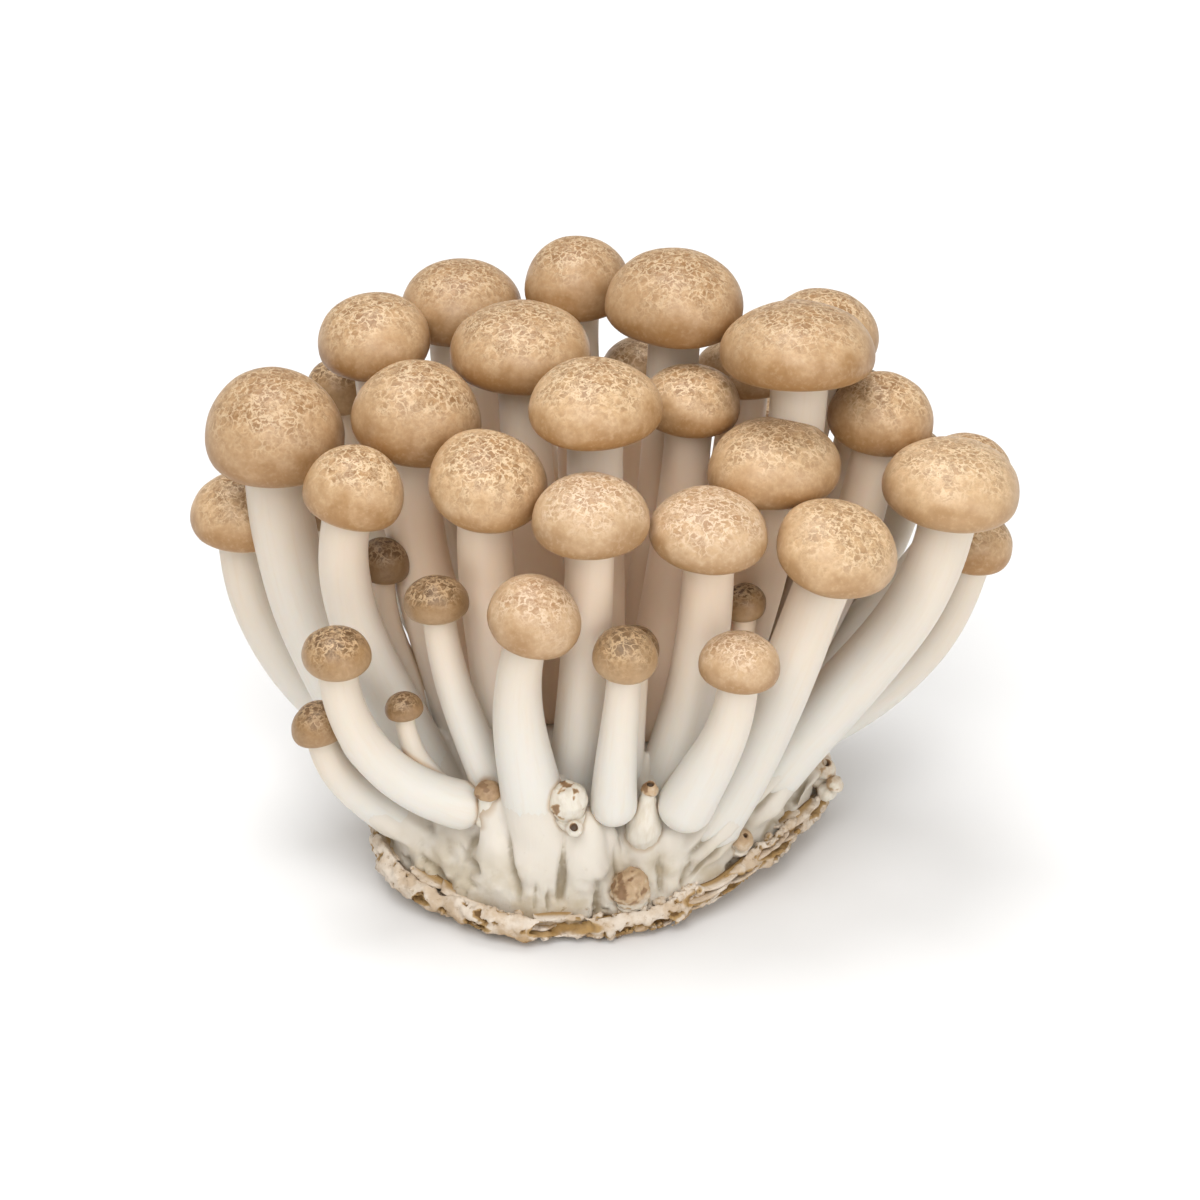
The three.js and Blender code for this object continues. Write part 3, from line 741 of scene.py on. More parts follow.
def build_cap(number):
    cap = caps[number - 1]
    stem_radius = STEMS[number - 1][0][0] * MM
    young = 2 * cap["radius"] < YOUNG_WIDTH
    sides = YOUNG_SIDES if young else GROWN_SIDES
    bm = spun(cap_profile(cap["radius"], cap["rise"], stem_radius), sides, "crown")
    shape_cap(bm, cap, sides, stem_radius + SEAT_ROOM)
    store_value(bm, "toasted", TOASTED.get(number, 0))
    skin = young_skin if young else grown_skin
    if number in HONEY_CAPS:
        skin = honey_skin
    return finish_piece(bm, f"fine_cap_{number:02d}", skin, f"cap_{number:02d}")


fine_caps = [build_cap(number) for number in range(1, CAP_COUNT + 1)]
print(sum(len(cap.data.polygons) for cap in fine_caps), "faces in", len(fine_caps), "caps")

# %% [markdown]
# ## Stems
# A stem leaves the block on its own heading and bends up until it meets its cap square on,
# which is just what a Bezier curve with two free handles does. A straight bar is spun with a
# rounded butt and a swollen foot, and each of its corners is then carried over to the curve.
# A frame that is turned along with the curve, step by step, keeps the bar from twisting.

# %% Stem line
GAP = 0.35 * MM               # the seam that the plain solids keep under a cap
TUCK = 0.9 * MM               # how far a fine stem goes up into its cap
LINE_STEPS = 140
ROOT_HANDLE, CAP_HANDLE = 0.4, 0.38   # the curve's free handles, of the span


def heading(lean):
    return Vector((lean[0], lean[1], 1)).normalized()


def stem_line(number):
    """Points along a stem, each with its distance from the root and a frame across it."""
    cap, (_, root, start) = caps[number - 1], STEMS[number - 1]
    root = Vector(root) * MM
    seat = cap["base"] + cap["axis"] * (GILL_SEAT * cap["rise"] - GAP)
    reach = (seat - root).length
    out = root + heading(start) * ROOT_HANDLE * reach
    under = seat - cap["axis"] * CAP_HANDLE * reach
    points = geometry.interpolate_bezier(root, out, under, seat, LINE_STEPS)
    points.append(seat + cap["axis"] * (GAP + TUCK))
    tangent = (points[1] - points[0]).normalized()
    across = tangent.orthogonal().normalized()
    line, run = [], 0.0
    for here, after in zip(points, points[1:] + [2 * points[-1] - points[-2]]):
        ahead = (after - here).normalized()
        across = (tangent.rotation_difference(ahead) @ across).normalized()
        tangent = ahead
        line.append((run, here, across, tangent.cross(across)))
        run += (after - here).length
    return line


def on_line(line, distance):
    """The place and the frame at a distance along a stem."""
    length = line[-1][0]
    spot = min(max(distance / length, 0), 1) * (len(line) - 2)
    index = min(int(spot), len(line) - 2)
    while index > 0 and line[index][0] > distance:
        index -= 1
    while index < len(line) - 2 and line[index + 1][0] < distance:
        index += 1
    (here, place, across, aside), (there, after, *_) = line[index], line[index + 1]
    share = (distance - here) / (there - here)
    return place.lerp(after, share), across, aside


print("the first stem is", round(stem_line(1)[-1][0] / MM), "mm long")

# %% Stem profile
BODY_STEPS = 40
BUTT_STEPS = 6
BUTT_LENGTH = 0.95            # how long the rounded butt is, of the root's radius
FLARE = 0.07                  # how much wider a stem is right under its cap
FLARE_START = 0.86            # where it starts to widen, of its length
TAPER = 1.5                   # above 1, a stem thickens mostly near its root


def stem_profile(top, bottom, length):
    butt = BUTT_LENGTH * bottom

    def girth(distance):
        share = min(1, distance / length)
        flare = FLARE * smooth(FLARE_START, 1, share)
        return (top + (bottom - top) * (1 - share) ** TAPER) * (1 + flare)

    points = [(0, 0, 0)]
    for angle in quarter(BUTT_STEPS)[1:]:
        distance = butt * (1 - math.cos(angle))
        points.append((girth(distance) * math.sin(angle), distance, 0))
    for step in range(1, BODY_STEPS + 1):
        share = step / BODY_STEPS
        distance = butt + (length - butt) * share
        points.append((girth(distance), distance, share))
    return points + [(0, length, 1)]


print("a stem's profile has", len(stem_profile(3 * MM, 4 * MM, 50 * MM)), "points")

# %% Stem shape
STEM_SIDES = 32
STEM_LUMPS = (0.45, 4.5 * MM, 0.035)  # squeezed along the stem, how wide, and how high
STEM_GROOVES = (0.06, 1.1 * MM, 0.012)
NOISE_SHIFT = Vector((0.03, 0.05, 0.07))   # keeps each stem's noise its own
INSIDE_FOOT = (22 * MM, 18 * MM)      # half the width and depth of the shaded middle, low down
INSIDE_SPREAD = (0.6, 0.45)           # and how much each grows for each mm up


def depth_inside(place):
    """1 in the shaded middle of the cluster, 0 on its outer side and near its top."""
    across = place.x / (INSIDE_FOOT[0] + INSIDE_SPREAD[0] * place.z)
    inwards = (place.y - 5 * MM) / (INSIDE_FOOT[1] + INSIDE_SPREAD[1] * place.z)
    return smooth(0.95, 0.45, math.hypot(across, inwards)) * smooth(68 * MM, 48 * MM, place.z)


def build_stem(number):
    (top, bottom), _, _ = STEMS[number - 1]
    line = stem_line(number)
    bm = spun(stem_profile(top * MM, bottom * MM, line[-1][0]), STEM_SIDES, "along")
    straight = bm.verts.layers.float_vector.new("straight")
    painted_inner_shade = bm.verts.layers.float.new("painted_inner_shade")
    for vert in bm.verts:
        rest = vert.co + NOISE_SHIFT * number
        vert[straight] = rest
        swell = 1
        for squeeze, width, height in (STEM_LUMPS, STEM_GROOVES):
            swell += height * noise.noise(Vector((rest.x, rest.y, squeeze * rest.z)) / width)
        place, across, aside = on_line(line, vert.co.z)
        vert.co = place + (across * vert.co.x + aside * vert.co.y) * swell
        # Stored for the painted shade in the middle of the cluster.
        vert[painted_inner_shade] = depth_inside(vert.co)
    return bm


stems = [build_stem(number) for number in range(1, CAP_COUNT + 1)]
print(sum(len(stem.faces) for stem in stems), "faces in", len(stems), "stems")

# %% [markdown]
# ## The outline of the block
# The block was cut from the mouth of a growing bottle, so it is roughly round, with a lip
# of crust that rises and dips. Both the block and the crust follow the same ring of twelve
# readings, one every 30 degrees. A spline through them gives the reach at any angle.

# %% Block outline
# Both from +X on, turning left as seen from above, in mm.
CRUST_REACH = [31, 29.5, 26.5, 25, 26, 29.5, 32.5, 34.5, 32, 28, 26.5, 27]
LIP_HEIGHT = [4.5, 4.5, 4.5, 4, 4, 4.5, 4.5, 3.5, 1.5, 0.8, 2, 4.5]
BLOCK_SIDES = 144


def around(readings, angle):
    """A value that runs smoothly through a ring of readings, in metres."""
    turn = (angle / (2 * math.pi)) % 1 * len(readings)
    before = int(turn)
    share = turn - before
    p, q, r, s = [readings[(before + step) % len(readings)] * MM for step in (-1, 0, 1, 2)]
    bend = share * (2 * p - 5 * q + 4 * r - s + share * (3 * (q - r) + s - p))
    return q + 0.5 * share * (r - p + bend)


def outline_point(share, angle, height, lift):
    """A point at a share of the reach; height in mm, and lift as a share of the lip's."""
    reach = share * around(CRUST_REACH, angle)
    level = height * MM + lift * around(LIP_HEIGHT, angle)
    return Vector((math.cos(angle) * reach, math.sin(angle) * reach, level))


print("the crust reaches", CRUST_REACH[9], "mm to the front,", CRUST_REACH[3], "mm to the back")

# %% [markdown]
# ## Root block
# What holds the cluster together is a mass of stunted stems that melted into each other. All
# but three of the outer stems run down into it without a seam, so each of those gets a
# sleeve: flesh that is a little thicker than the stem at its root and dives into it further
# up. Core, sleeves and dozens of flattened lobes are poured together, and a voxel remesh
# melts them into one skin, where the seams between lobes stay as valleys. The folds one
# notices from the front are pressed in afterwards, along listed lines, and short slits
# are torn into the foot.

# %% Lobes
# Rings of the core: share of the crust's reach, height in mm, and share of the lip's height.
BLOCK_RINGS = [
    (0, 3.4, 0), (0.62, 3.4, 0.3), (0.9, 1.2, 1), (0.9, 4.2, 1), (0.87, 9, 0.6),
    (0.74, 13.5, 0.15), (0.43, 16.5, 0), (0, 17.5, 0),
]
# Lobes one can tell apart, in mm: upper end, lower end, radius at each, and thickness by width.
LOBES = [
    ((-15.7, -22.3, 20), (-14.3, -24, 4), (1.3, 4.6), 0.8),
    ((-10, -21.4, 15), (-8.7, -24.2, 4), (4.6, 4.8), 0.8),
    ((-26, -16, 10.5), (-17.5, -23.2, 4), (2, 3.6), 0.6),
    ((-28, -14.5, 8), (-20, -22, 3), (1.6, 2.6), 0.7),
    ((-29, -12.5, 9.5), (-23, -20.4, 3.5), (2, 3), 0.6),
    ((-20, -18.5, 13), (-18, -21.8, 6), (2.2, 3), 0.7),
    ((-2.9, -23.8, 17), (-2.8, -24.4, 10.5), (2.2, 3.7), 1),
    ((-4, -24.8, 8.5), (-4, -25, 4.5), (2.9, 2.9), 1),
    ((-0.6, -22.5, 14), (0.6, -24.2, 4), (2, 2.8), 0.7),
    ((4.8, -21.5, 12), (5.6, -23, 4), (2.2, 2.6), 0.8),
    ((8.7, -20.5, 12.5), (9.3, -21.6, 4.5), (2.2, 2.8), 0.8),
    ((21, -10.5, 13.5), (13, -18.8, 5), (2.6, 3.2), 0.8),
    ((26.5, -4, 14), (18.5, -14.5, 4.5), (1.8, 2.6), 0.8),
    ((30, -1.5, 12.5), (24, -9.5, 4), (1.8, 2.4), 0.8),
    ((-8, 19.5, 14), (-6, 20.5, 5), (2, 3.6), 0.7),
    ((16, 17.5, 12.5), (17, 18, 5), (2, 3.6), 0.7),
    ((-24, 12, 12.5), (-25, 12.5, 5), (2, 3.6), 0.7),
]
print(len(LOBES), "lobes set by hand")

# %% Lobe and sleeve
LOBE_SIDES, LOBE_STEPS = 28, 8
END_STEPS = 5
FOOT_LENGTH = 0.6             # how long a lobe's lower end is, of its radius there
SLEEVE_LENGTH = 13 * MM
SLEEVE_FIT = 1.07             # its girth at the root, of the stem's
SLEEVE_NARROWS = 0.15         # and how much less that is at its top


def pour(body, into):
    """Adds one bmesh to another and frees it."""
    carrier = bpy.data.meshes.new("carrier")
    body.to_mesh(carrier)
    body.free()
    into.from_mesh(carrier)
    bpy.data.meshes.remove(carrier)


def lobe(upper, lower, girth, flat):
    """A tapered body with round ends, flattened against the core; all in metres."""
    top, foot = girth
    run = upper - lower
    end = FOOT_LENGTH * foot
    profile = [(foot * math.sin(a), -end * math.cos(a), 0) for a in quarter(END_STEPS)]
    for step in range(1, LOBE_STEPS):
        share = step / LOBE_STEPS
        profile.append((foot + (top - foot) * share, run.length * share, 0))
    for angle in quarter(END_STEPS)[:-1]:
        profile.append((top * math.cos(angle), run.length + top * math.sin(angle), 0))
    body = spun(profile + [(0, run.length + top, 0)], LOBE_SIDES, "mark")
    for vert in body.verts:
        vert.co.y *= flat
    ahead = run.normalized()
    out = Vector((upper.x + lower.x, upper.y + lower.y, 0))
    aside = out.cross(ahead).normalized()
    turn = Matrix((aside, ahead.cross(aside), ahead)).transposed().to_4x4()
    body.transform(Matrix.Translation(lower) @ turn)
    return body


def sleeve(number):
    """The flesh round the lower end of a stem."""
    (top, bottom), _, _ = STEMS[number - 1]
    line = stem_line(number)
    profile = [(0, 0, 0)]
    for step in range(LOBE_STEPS + 1):
        distance = SLEEVE_LENGTH * step / LOBE_STEPS
        girth = top + (bottom - top) * (1 - distance / line[-1][0]) ** TAPER
        fit = SLEEVE_FIT - SLEEVE_NARROWS * step / LOBE_STEPS
        profile.append((girth * fit * MM, distance, 0))
    body = spun(profile + [(0, SLEEVE_LENGTH, 0)], LOBE_SIDES, "mark")
    for vert in body.verts:
        place, across, aside = on_line(line, vert.co.z)
        vert.co = place + across * vert.co.x + aside * vert.co.y
    return body


print("a sleeve is", round(SLEEVE_LENGTH / MM), "mm long")

# %% Pour the block
LOOSE_STEMS = (31, 34, 36)    # stems that end in a round butt in front of the block
OUTER_ROOT = 14 * MM          # stems that start further out than this have a sleeve
FOOT_SPOT = (0.84, 1.5, 1)    # where those stems' lobes end: see outline_point
SMALL_LOBES = 46
rng = random.Random(11)


def block_core():
    profile = [(share, ring, 0) for ring, (share, _, _) in enumerate(BLOCK_RINGS)]
    core = spun(profile, BLOCK_SIDES, "mark")
    for vert in core.verts:
        _, height, lift = BLOCK_RINGS[round(vert.co.z)]
        share = math.hypot(vert.co.x, vert.co.y)
        vert.co = outline_point(share, math.atan2(vert.co.y, vert.co.x), height, lift)
    return core


def raw_block():
    whole = block_core()
    for upper, lower, girth, flat in LOBES:
        ends = [Vector(end) * MM for end in (upper, lower)]
        pour(lobe(*ends, [radius * MM for radius in girth], flat), whole)
    for number, ((_, bottom), root, _) in enumerate(STEMS, 1):
        start = Vector(root) * MM
        outer = math.hypot(start.x, start.y) > OUTER_ROOT
        if outer and number not in LOOSE_STEMS:
            share, height, lift = FOOT_SPOT
            foot = outline_point(share, math.atan2(start.y, start.x), height, lift)
            pour(lobe(start, foot, (SLEEVE_FIT * bottom * MM, bottom * MM), 0.95), whole)
            pour(sleeve(number), whole)
    for count in range(SMALL_LOBES):
        angle = 2 * math.pi * (count + rng.uniform(-0.3, 0.3)) / SMALL_LOBES
        upper = outline_point(rng.uniform(0.74, 0.84), angle, rng.uniform(7, 13), 0.3)
        lower = outline_point(rng.uniform(0.86, 0.89), angle + rng.uniform(-0.08, 0.08), 1.2, 1)
        girth = (rng.uniform(0.9, 1.5) * MM, rng.uniform(1.6, 2.6) * MM)
        pour(lobe(upper, lower, girth, 0.7), whole)
    return whole


poured = raw_block()
print("poured together:", len(poured.faces), "faces")

# %% Melt
BLOCK_VOXEL = 0.44 * MM


def fused(body, voxel, cutters=None):
    """Melts overlapping closed bodies into one skin, after cutting the cutters out."""
    scene = bpy.context.scene
    holders = []
    for part in filter(None, (body, cutters)):
        mesh = bpy.data.meshes.new("fusing")
        part.to_mesh(mesh)
        part.free()
        holders.append(bpy.data.objects.new("fusing", mesh))
        scene.collection.objects.link(holders[-1])
    if cutters:
        cut = holders[0].modifiers.new("cut", "BOOLEAN")
        cut.operation, cut.solver, cut.object = "DIFFERENCE", "EXACT", holders[1]
        cut.use_self = True
    melt = holders[0].modifiers.new("melt", "REMESH")
    melt.mode, melt.voxel_size = "VOXEL", voxel
    bpy.context.view_layer.update()
    seen = holders[0].evaluated_get(bpy.context.evaluated_depsgraph_get())
    skin = bmesh.new()
    skin.from_mesh(seen.to_mesh())
    for holder in holders:
        mesh = holder.data
        bpy.data.objects.remove(holder)
        bpy.data.meshes.remove(mesh)
    return skin


def soften(bm, rounds):
    for _ in range(rounds):
        bmesh.ops.smooth_vert(
            bm, verts=bm.verts, factor=0.5, use_axis_x=True, use_axis_y=True, use_axis_z=True,
        )


def hollowness(bm, size):
    """How hollow the skin is at each corner, from 0 to 1, evened out with its neighbours."""
    bm.normal_update()
    bm.verts.ensure_lookup_table()
    hollow = []
    for vert in bm.verts:
        rest = [edge.other_vert(vert).co for edge in vert.link_edges]
        middle = sum(rest, Vector()) / len(rest)
        hollow.append((middle - vert.co).dot(vert.normal) / size)
    even = []
    for vert in bm.verts:
        rest = [hollow[edge.other_vert(vert).index] for edge in vert.link_edges]
        even.append((hollow[vert.index] + sum(rest)) / (1 + len(rest)))
    return [min(1, max(0, value)) for value in even]


block = fused(poured, BLOCK_VOXEL)
soften(block, 3)
print("melted:", len(block.faces), "faces")

# %% Folds
# Folds pressed in from the front: where each starts, where it is deepest, and how deep, in mm.
FOLDS = [
    ((-27, -13.5, 7.8), (-21.6, -19.5, 4.2), 0.8), ((-29, -12.5, 5), (-22.7, -20, 3.6), 0.6),
    ((-21, -18, 11.5), (-17.4, -21.5, 7.6), 0.9), ((-13.9, -19, 16.5), (-11.9, -23.3, 5), 0.9),
    ((-16.6, -21, 16.5), (-19, -22.5, 10), 0.8), ((-9.4, -25.1, 9.5), (-9.7, -25.5, 4), 0.7),
    ((-7.6, -25.3, 8.6), (-7.7, -25.8, 4), 0.9), ((-5.4, -24.5, 17.5), (-6.2, -25.5, 6), 1),
    ((-1, -24, 8), (-1.2, -25, 4), 0.8), ((1.2, -23.8, 15), (1.8, -25, 7), 0.8),
    ((27.5, -2, 13.6), (20.5, -11.7, 10.8), 1), ((21.5, -10.5, 11.2), (12, -19.9, 6), 1.1),
    ((29, -2, 12), (26.3, -4.4, 7.8), 0.9), ((26.6, -4, 8.2), (22.4, -9.6, 4.6), 0.9),
    ((20, -11, 14.5), (11.6, -18.4, 8.6), 0.9), ((7, -21.6, 12), (7.6, -22.5, 5), 0.7),
    ((11.8, -20, 10.5), (10.6, -21, 5), 0.7),
]
FOLD_WIDTH = 0.8 * MM         # each side of the line
FOLD_TAIL = 1.2               # a fold runs out at this share of the way to its deepest place
FOLDS_TOP = 20 * MM           # no fold reaches higher
UPWARDS = Vector((0, math.sin(LOOK_DOWN), math.cos(LOOK_DOWN)))


def from_front(place):
    """Where a place lies as seen from the front, to the right and upwards."""
    return Vector((place.x, place.dot(UPWARDS), 0))


FOLD_LINES = [
    (from_front(Vector(start) * MM), from_front(Vector(end) * MM), depth * MM)
    for start, end, depth in FOLDS
]


def fold_at(place):
    """How deep the folds are at a place, in metres."""
    deepest, spot = 0, from_front(place)
    for start, end, depth in FOLD_LINES:
        near, share = geometry.intersect_point_line(spot, start, end)
        if 0 < share < FOLD_TAIL:
            ends = smooth(0, 0.8, share) * smooth(FOLD_TAIL, 0.95, share)
            width = FOLD_WIDTH * (0.4 + 0.6 * ends)
            deepest = max(deepest, depth * ends * smooth(width, 0, (spot - near).length))
    return deepest


print(len(FOLD_LINES), "folds")

# %% Torn foot
BLOCK_SHARE = 0.95            # how far the block's foot may reach, of the crust's reach
BLOCK_BOTTOM = 0.3 * MM
FAN_HEIGHT = 25 * MM          # the streaks spread upwards like stems from this far below
SLIT_DEPTH = 0.7 * MM
SLIT_TOP = 6 * MM             # how far above the lip the slits run
LUMP_HEIGHT = 0.5             # in mm
WRINKLE_HEIGHT, WRINKLE_GROWS = 0.05, 0.55   # in mm: high up, and what is added at the foot
CLEAR_HOLLOW = 0.3 * BLOCK_VOXEL             # a hollow this deep is as dark as a fold
# Streaks: so many to the metre across and upright.
SLIT_STREAKS, LUMP_STREAKS, WRINKLE_STREAKS = (480, 60), (320, 80), (900, 110)


def streak(place, cells):
    """Upright streaks of noise that spread like the stems."""
    fan = 1 / (1 + place.z / FAN_HEIGHT)
    across, upright = cells
    return noise.noise(Vector((place.x * fan * across, place.y * fan * across, place.z * upright)))


def height_on_lip(place):
    """How far above the lip's underside a place lies."""
    return place.z - around(LIP_HEIGHT, math.atan2(place.y, place.x))


def tear_block(bm):
    """Swells the block unevenly, folds it, slits its foot and stores its folds and slits as painted
    shade.
    """
    bm.normal_update()
    painted_crease_shade = bm.verts.layers.float.new("painted_crease_shade")
    moves = []
    for vert in bm.verts:
        place = vert.co
        above = height_on_lip(place)
        slit = smooth(0.1, 0.0, abs(streak(place, SLIT_STREAKS))) * smooth(SLIT_TOP, 2 * MM, above)
        lump = streak(place, LUMP_STREAKS) * smooth(19 * MM, 12 * MM, place.z)
        fold = fold_at(place) if place.z < FOLDS_TOP and place.y < 0 else 0
        vert[painted_crease_shade] = min(1, 0.7 * slit + fold / MM)
        streaky = WRINKLE_HEIGHT + WRINKLE_GROWS * smooth(13 * MM, 6 * MM, above)
        swell = (LUMP_HEIGHT * lump + streaky * streak(place, WRINKLE_STREAKS)) * MM
        moves.append(vert.normal * (swell - slit * SLIT_DEPTH - fold))
    for vert, move in zip(bm.verts, moves):
        vert.co += move
        # Low down, nothing may stick out over the crust.
        angle, reach = math.atan2(vert.co.y, vert.co.x), math.hypot(vert.co.x, vert.co.y)
        low = smooth(8 * MM, 5 * MM, height_on_lip(vert.co))
        over = reach - BLOCK_SHARE * around(CRUST_REACH, angle)
        if over > 0:
            vert.co.xy *= 1 - low * over / reach
        vert.co.z = max(vert.co.z, BLOCK_BOTTOM)


tear_block(block)
# Hollows of the skin get painted shade too, as dark as the folds'.
painted_crease_shade = block.verts.layers.float["painted_crease_shade"]
for vert, hollow in zip(block.verts, hollowness(block, CLEAR_HOLLOW)):
    vert[painted_crease_shade] = max(vert[painted_crease_shade], hollow)
print("root block:", len(block.faces), "faces")

# %% [markdown]
# ## Pins
# Between the lobes sit pins, young mushrooms that never opened. One is a white knob with brown
# scabs, some are flask-shaped with a dark eye where the cap should have formed, one is a
# rough brown bud, and one managed a tiny cap. All are spun from one of two profiles, and an
# eye is a small pit at the tip. How ripe each part of a pin is, from 0 for white to 1 for
# brown, is stored on it, and its eye counts as 2.

# %% Pins
# at: the top, in mm as girth and tall are. girth: radius of body and knob. lean: how far it
# leans along X and Y for each mm up. ripe: how brown the knob is. eye: the eye's width, of the
# knob's. scab: how much of it is scabbed. rough: how bumpy it is, in mm.
PINS = [
    {"at": (-5.4, -25.2, 23.6), "girth": (2.2, 2.65), "tall": 8, "lean": (-0.1, -0.05),
     "ripe": 0.3, "scab": 1.1},
    {"at": (-4.3, -28.2, 18.8), "girth": (1.1, 1.15), "tall": 4, "lean": (0, -1.3),
     "ripe": 0.35, "eye": 0.45},
    {"at": (6, -23.6, 22.8), "girth": (2.4, 1.3), "tall": 13, "lean": (0.12, -0.2),
     "ripe": 0.9, "eye": 0.34, "scab": 0.5},
    {"at": (3.3, -27.2, 9.8), "girth": (2.2, 2.7), "tall": 8.5, "lean": (0, -0.5),
     "ripe": 0.95, "scab": 0.55, "rough": 0.55},
    {"at": (19, -18, 11), "girth": (1.5, 1.6), "tall": 5.5, "lean": (0.3, -0.5),
     "ripe": 0.9, "eye": 0.2},
    {"at": (30.6, -3.4, 13.4), "girth": (1.8, 1.7), "tall": 6, "lean": (0.2, -0.5),
     "ripe": 0.6, "eye": 0.35, "scab": 0.4},
    {"at": (32.2, -4.6, 11.4), "girth": (1.4, 1.25), "tall": 5, "lean": (0.6, -0.4),
     "ripe": 0.6, "scab": 0.5},
    {"at": (-15.9, -22.6, 22), "girth": (1.35, 1.85), "tall": 7, "lean": (-0.05, -0.15),
     "ripe": 1.1, "scab": 0.4, "rough": 0.12, "capped": True},
    {"at": (11.5, 22, 14), "girth": (2.4, 1.7), "tall": 8, "lean": (0.2, 0.5),
     "ripe": 0.8, "eye": 0.3},
    {"at": (-18, 19, 14.5), "girth": (2.6, 1.8), "tall": 8, "lean": (-0.3, 0.5),
     "ripe": 0.5, "eye": 0.35},
    {"at": (24, 15, 13), "girth": (2.2, 1.6), "tall": 7, "lean": (0.5, 0.3),
     "ripe": 1, "eye": 0.3},
]
print(len(PINS), "pins, of which", sum("eye" in pin for pin in PINS), "have an eye")

# %% Pin profiles
PROFILE_STEPS = 9


def rounded(points, steps):
    """A smooth line through a profile's points."""
    line = []
    for index in range(len(points) - 1):
        p, q, r, s = [points[min(max(index + step, 0), len(points) - 1)] for step in (-1, 0, 1, 2)]
        for step in range(steps):
            t = step / steps
            line.append(tuple(
                b + 0.5 * t * (c - a + t * (2 * a - 5 * b + 4 * c - d + t * (3 * (b - c) + d - a)))
                for a, b, c, d in zip(p, q, r, s)
            ))
    return line + [points[-1]]


def pin_profile(girth, tall, ripe, eye):
    body, knob = [radius * MM for radius in girth]
    tall *= MM
    points = [
        (0, -tall, 0), (0.7 * body, -0.85 * tall, 0), (body, -0.6 * tall, 0),
        (0.78 * knob, -1.75 * knob, 0.2 * ripe), (knob, -0.85 * knob, 0.8 * ripe),
        (0.62 * knob, -0.14 * knob, ripe),
    ]
    if not eye:
        return rounded(points + [(0, 0, ripe)], PROFILE_STEPS)
    rim = eye * knob
    points += [(1.25 * rim, -0.02 * knob, ripe), (rim, -0.08 * knob, 1.3)]
    points += [(0.7 * rim, -0.3 * knob, 1.8), (0, -0.4 * knob, 2)]
    return rounded(points, PROFILE_STEPS)


def capped_profile(girth, tall, ripe):
    """A short stem under a cap the size of a lentil."""
    body, knob = [radius * MM for radius in girth]
    tall *= MM
    points = [
        (0, -tall, 0), (1.5 * body, -0.9 * tall, 0), (1.2 * body, -0.6 * tall, 0),
        (body, -1.05 * knob, 0), (0.8 * knob, -knob, 0.5 * ripe), (knob, -0.75 * knob, 0.9 * ripe),
        (0.9 * knob, -0.38 * knob, ripe), (0.55 * knob, -0.08 * knob, ripe), (0, 0, ripe),
    ]
    return rounded(points, PROFILE_STEPS)


print("a plain pin's profile has", len(pin_profile((2, 2), 8, 1, 0)), "points")

# %% Build the pins
PIN_SIDES = 64
ROUGH = 0.25                  # how bumpy most pins are, in mm
SCAB_DEPTH = 0.12             # in mm
PATCHES = ((1.2 * MM, 1), (0.5 * MM, 0.4))   # how wide the scabs are, and how much they count
BUMPS = ((2.2 * MM, 1), (0.8 * MM, 0.6))


def build_pin(at, girth, tall, lean, ripe, eye=0, scab=0, rough=ROUGH, capped=False):
    profile = capped_profile(girth, tall, ripe) if capped else pin_profile(girth, tall, ripe, eye)
    body = spun(profile, PIN_SIDES, "ripe")
    layer = body.verts.layers.float["ripe"]
    straight = body.verts.layers.float_vector.new("straight")
    for vert in body.verts:
        vert[straight] = vert.co + Vector(at) * MM
    turn = Vector((0, 0, 1)).rotation_difference(heading(lean)).to_matrix().to_4x4()
    body.transform(Matrix.Translation(Vector(at) * MM) @ turn)
    body.normal_update()
    moves = []
    for vert in body.verts:
        knob = smooth(0, 0.5 * ripe, vert[layer])
        leftwards = (at[0] * MM - vert.co.x) / (girth[1] * MM)
        patches = sum(weight * noise.noise(vert.co / size) for size, weight in PATCHES)
        scabbed = scab * knob * smooth(0.1, 0.35, patches + 0.25 * leftwards - 0.05)
        bumps = sum(weight * noise.noise(vert.co / size) for size, weight in BUMPS)
        moves.append(vert.normal * (rough * bumps - SCAB_DEPTH * scabbed) * MM)
        vert[layer] = min(2, vert[layer] + scabbed)
    for vert, move in zip(body.verts, moves):
        vert.co += move
    return body


pins = [build_pin(**pin) for pin in PINS]
print(len(pins), "pins")

# %% [markdown]
# ## Where pieces touch
# Where two stems press on each other, or a pin on the block, little light gets in, and that
# shade is painted on as a thin brown line along the seam. Each corner looks for the nearest face
# of another piece and stores how near it is, for that painted shade: 1 where they touch, 0 from
# some distance on. The block takes no notice of the stems that melt into it, because there is no
# seam round those.

# %% Contact
CONTACT_REACH = 1.1 * MM


def reach_box(body):
    """The lowest and the highest of x, y and z within reach of a body."""
    sides = [[vert.co[axis] for vert in body.verts] for axis in range(3)]
    lows = [min(side) - CONTACT_REACH for side in sides]
    return lows, [max(side) + CONTACT_REACH for side in sides]


def overlap(box, other):
    """Whether two boxes share some room."""
    (lows, highs), (other_lows, other_highs) = box, other
    sides = zip(lows, highs, other_lows, other_highs)
    return all(low < other_high and other_low < high for low, high, other_low, other_high in sides)


def store_contacts(bodies, others):
    """Stores on the bodies' corners how near the nearest of the others is."""
    known = [(other, BVHTree.FromBMesh(other), reach_box(other)) for other in others]
    for body in bodies:
        own_box = reach_box(body)
        near = [
            (tree, box) for other, tree, box in known
            if other is not body and overlap(own_box, box)
        ]
        layer = body.verts.layers.float.new("painted_contact_shade")
        for vert in body.verts:
            x, y, z = vert.co
            nearest = CONTACT_REACH
            for tree, ((left, front, under), (right, back, over)) in near:
                if left < x < right and front < y < back and under < z < over:
                    distance = tree.find_nearest(vert.co, nearest)[3]
                    nearest = nearest if distance is None else distance
            vert[layer] = 1 - nearest / CONTACT_REACH


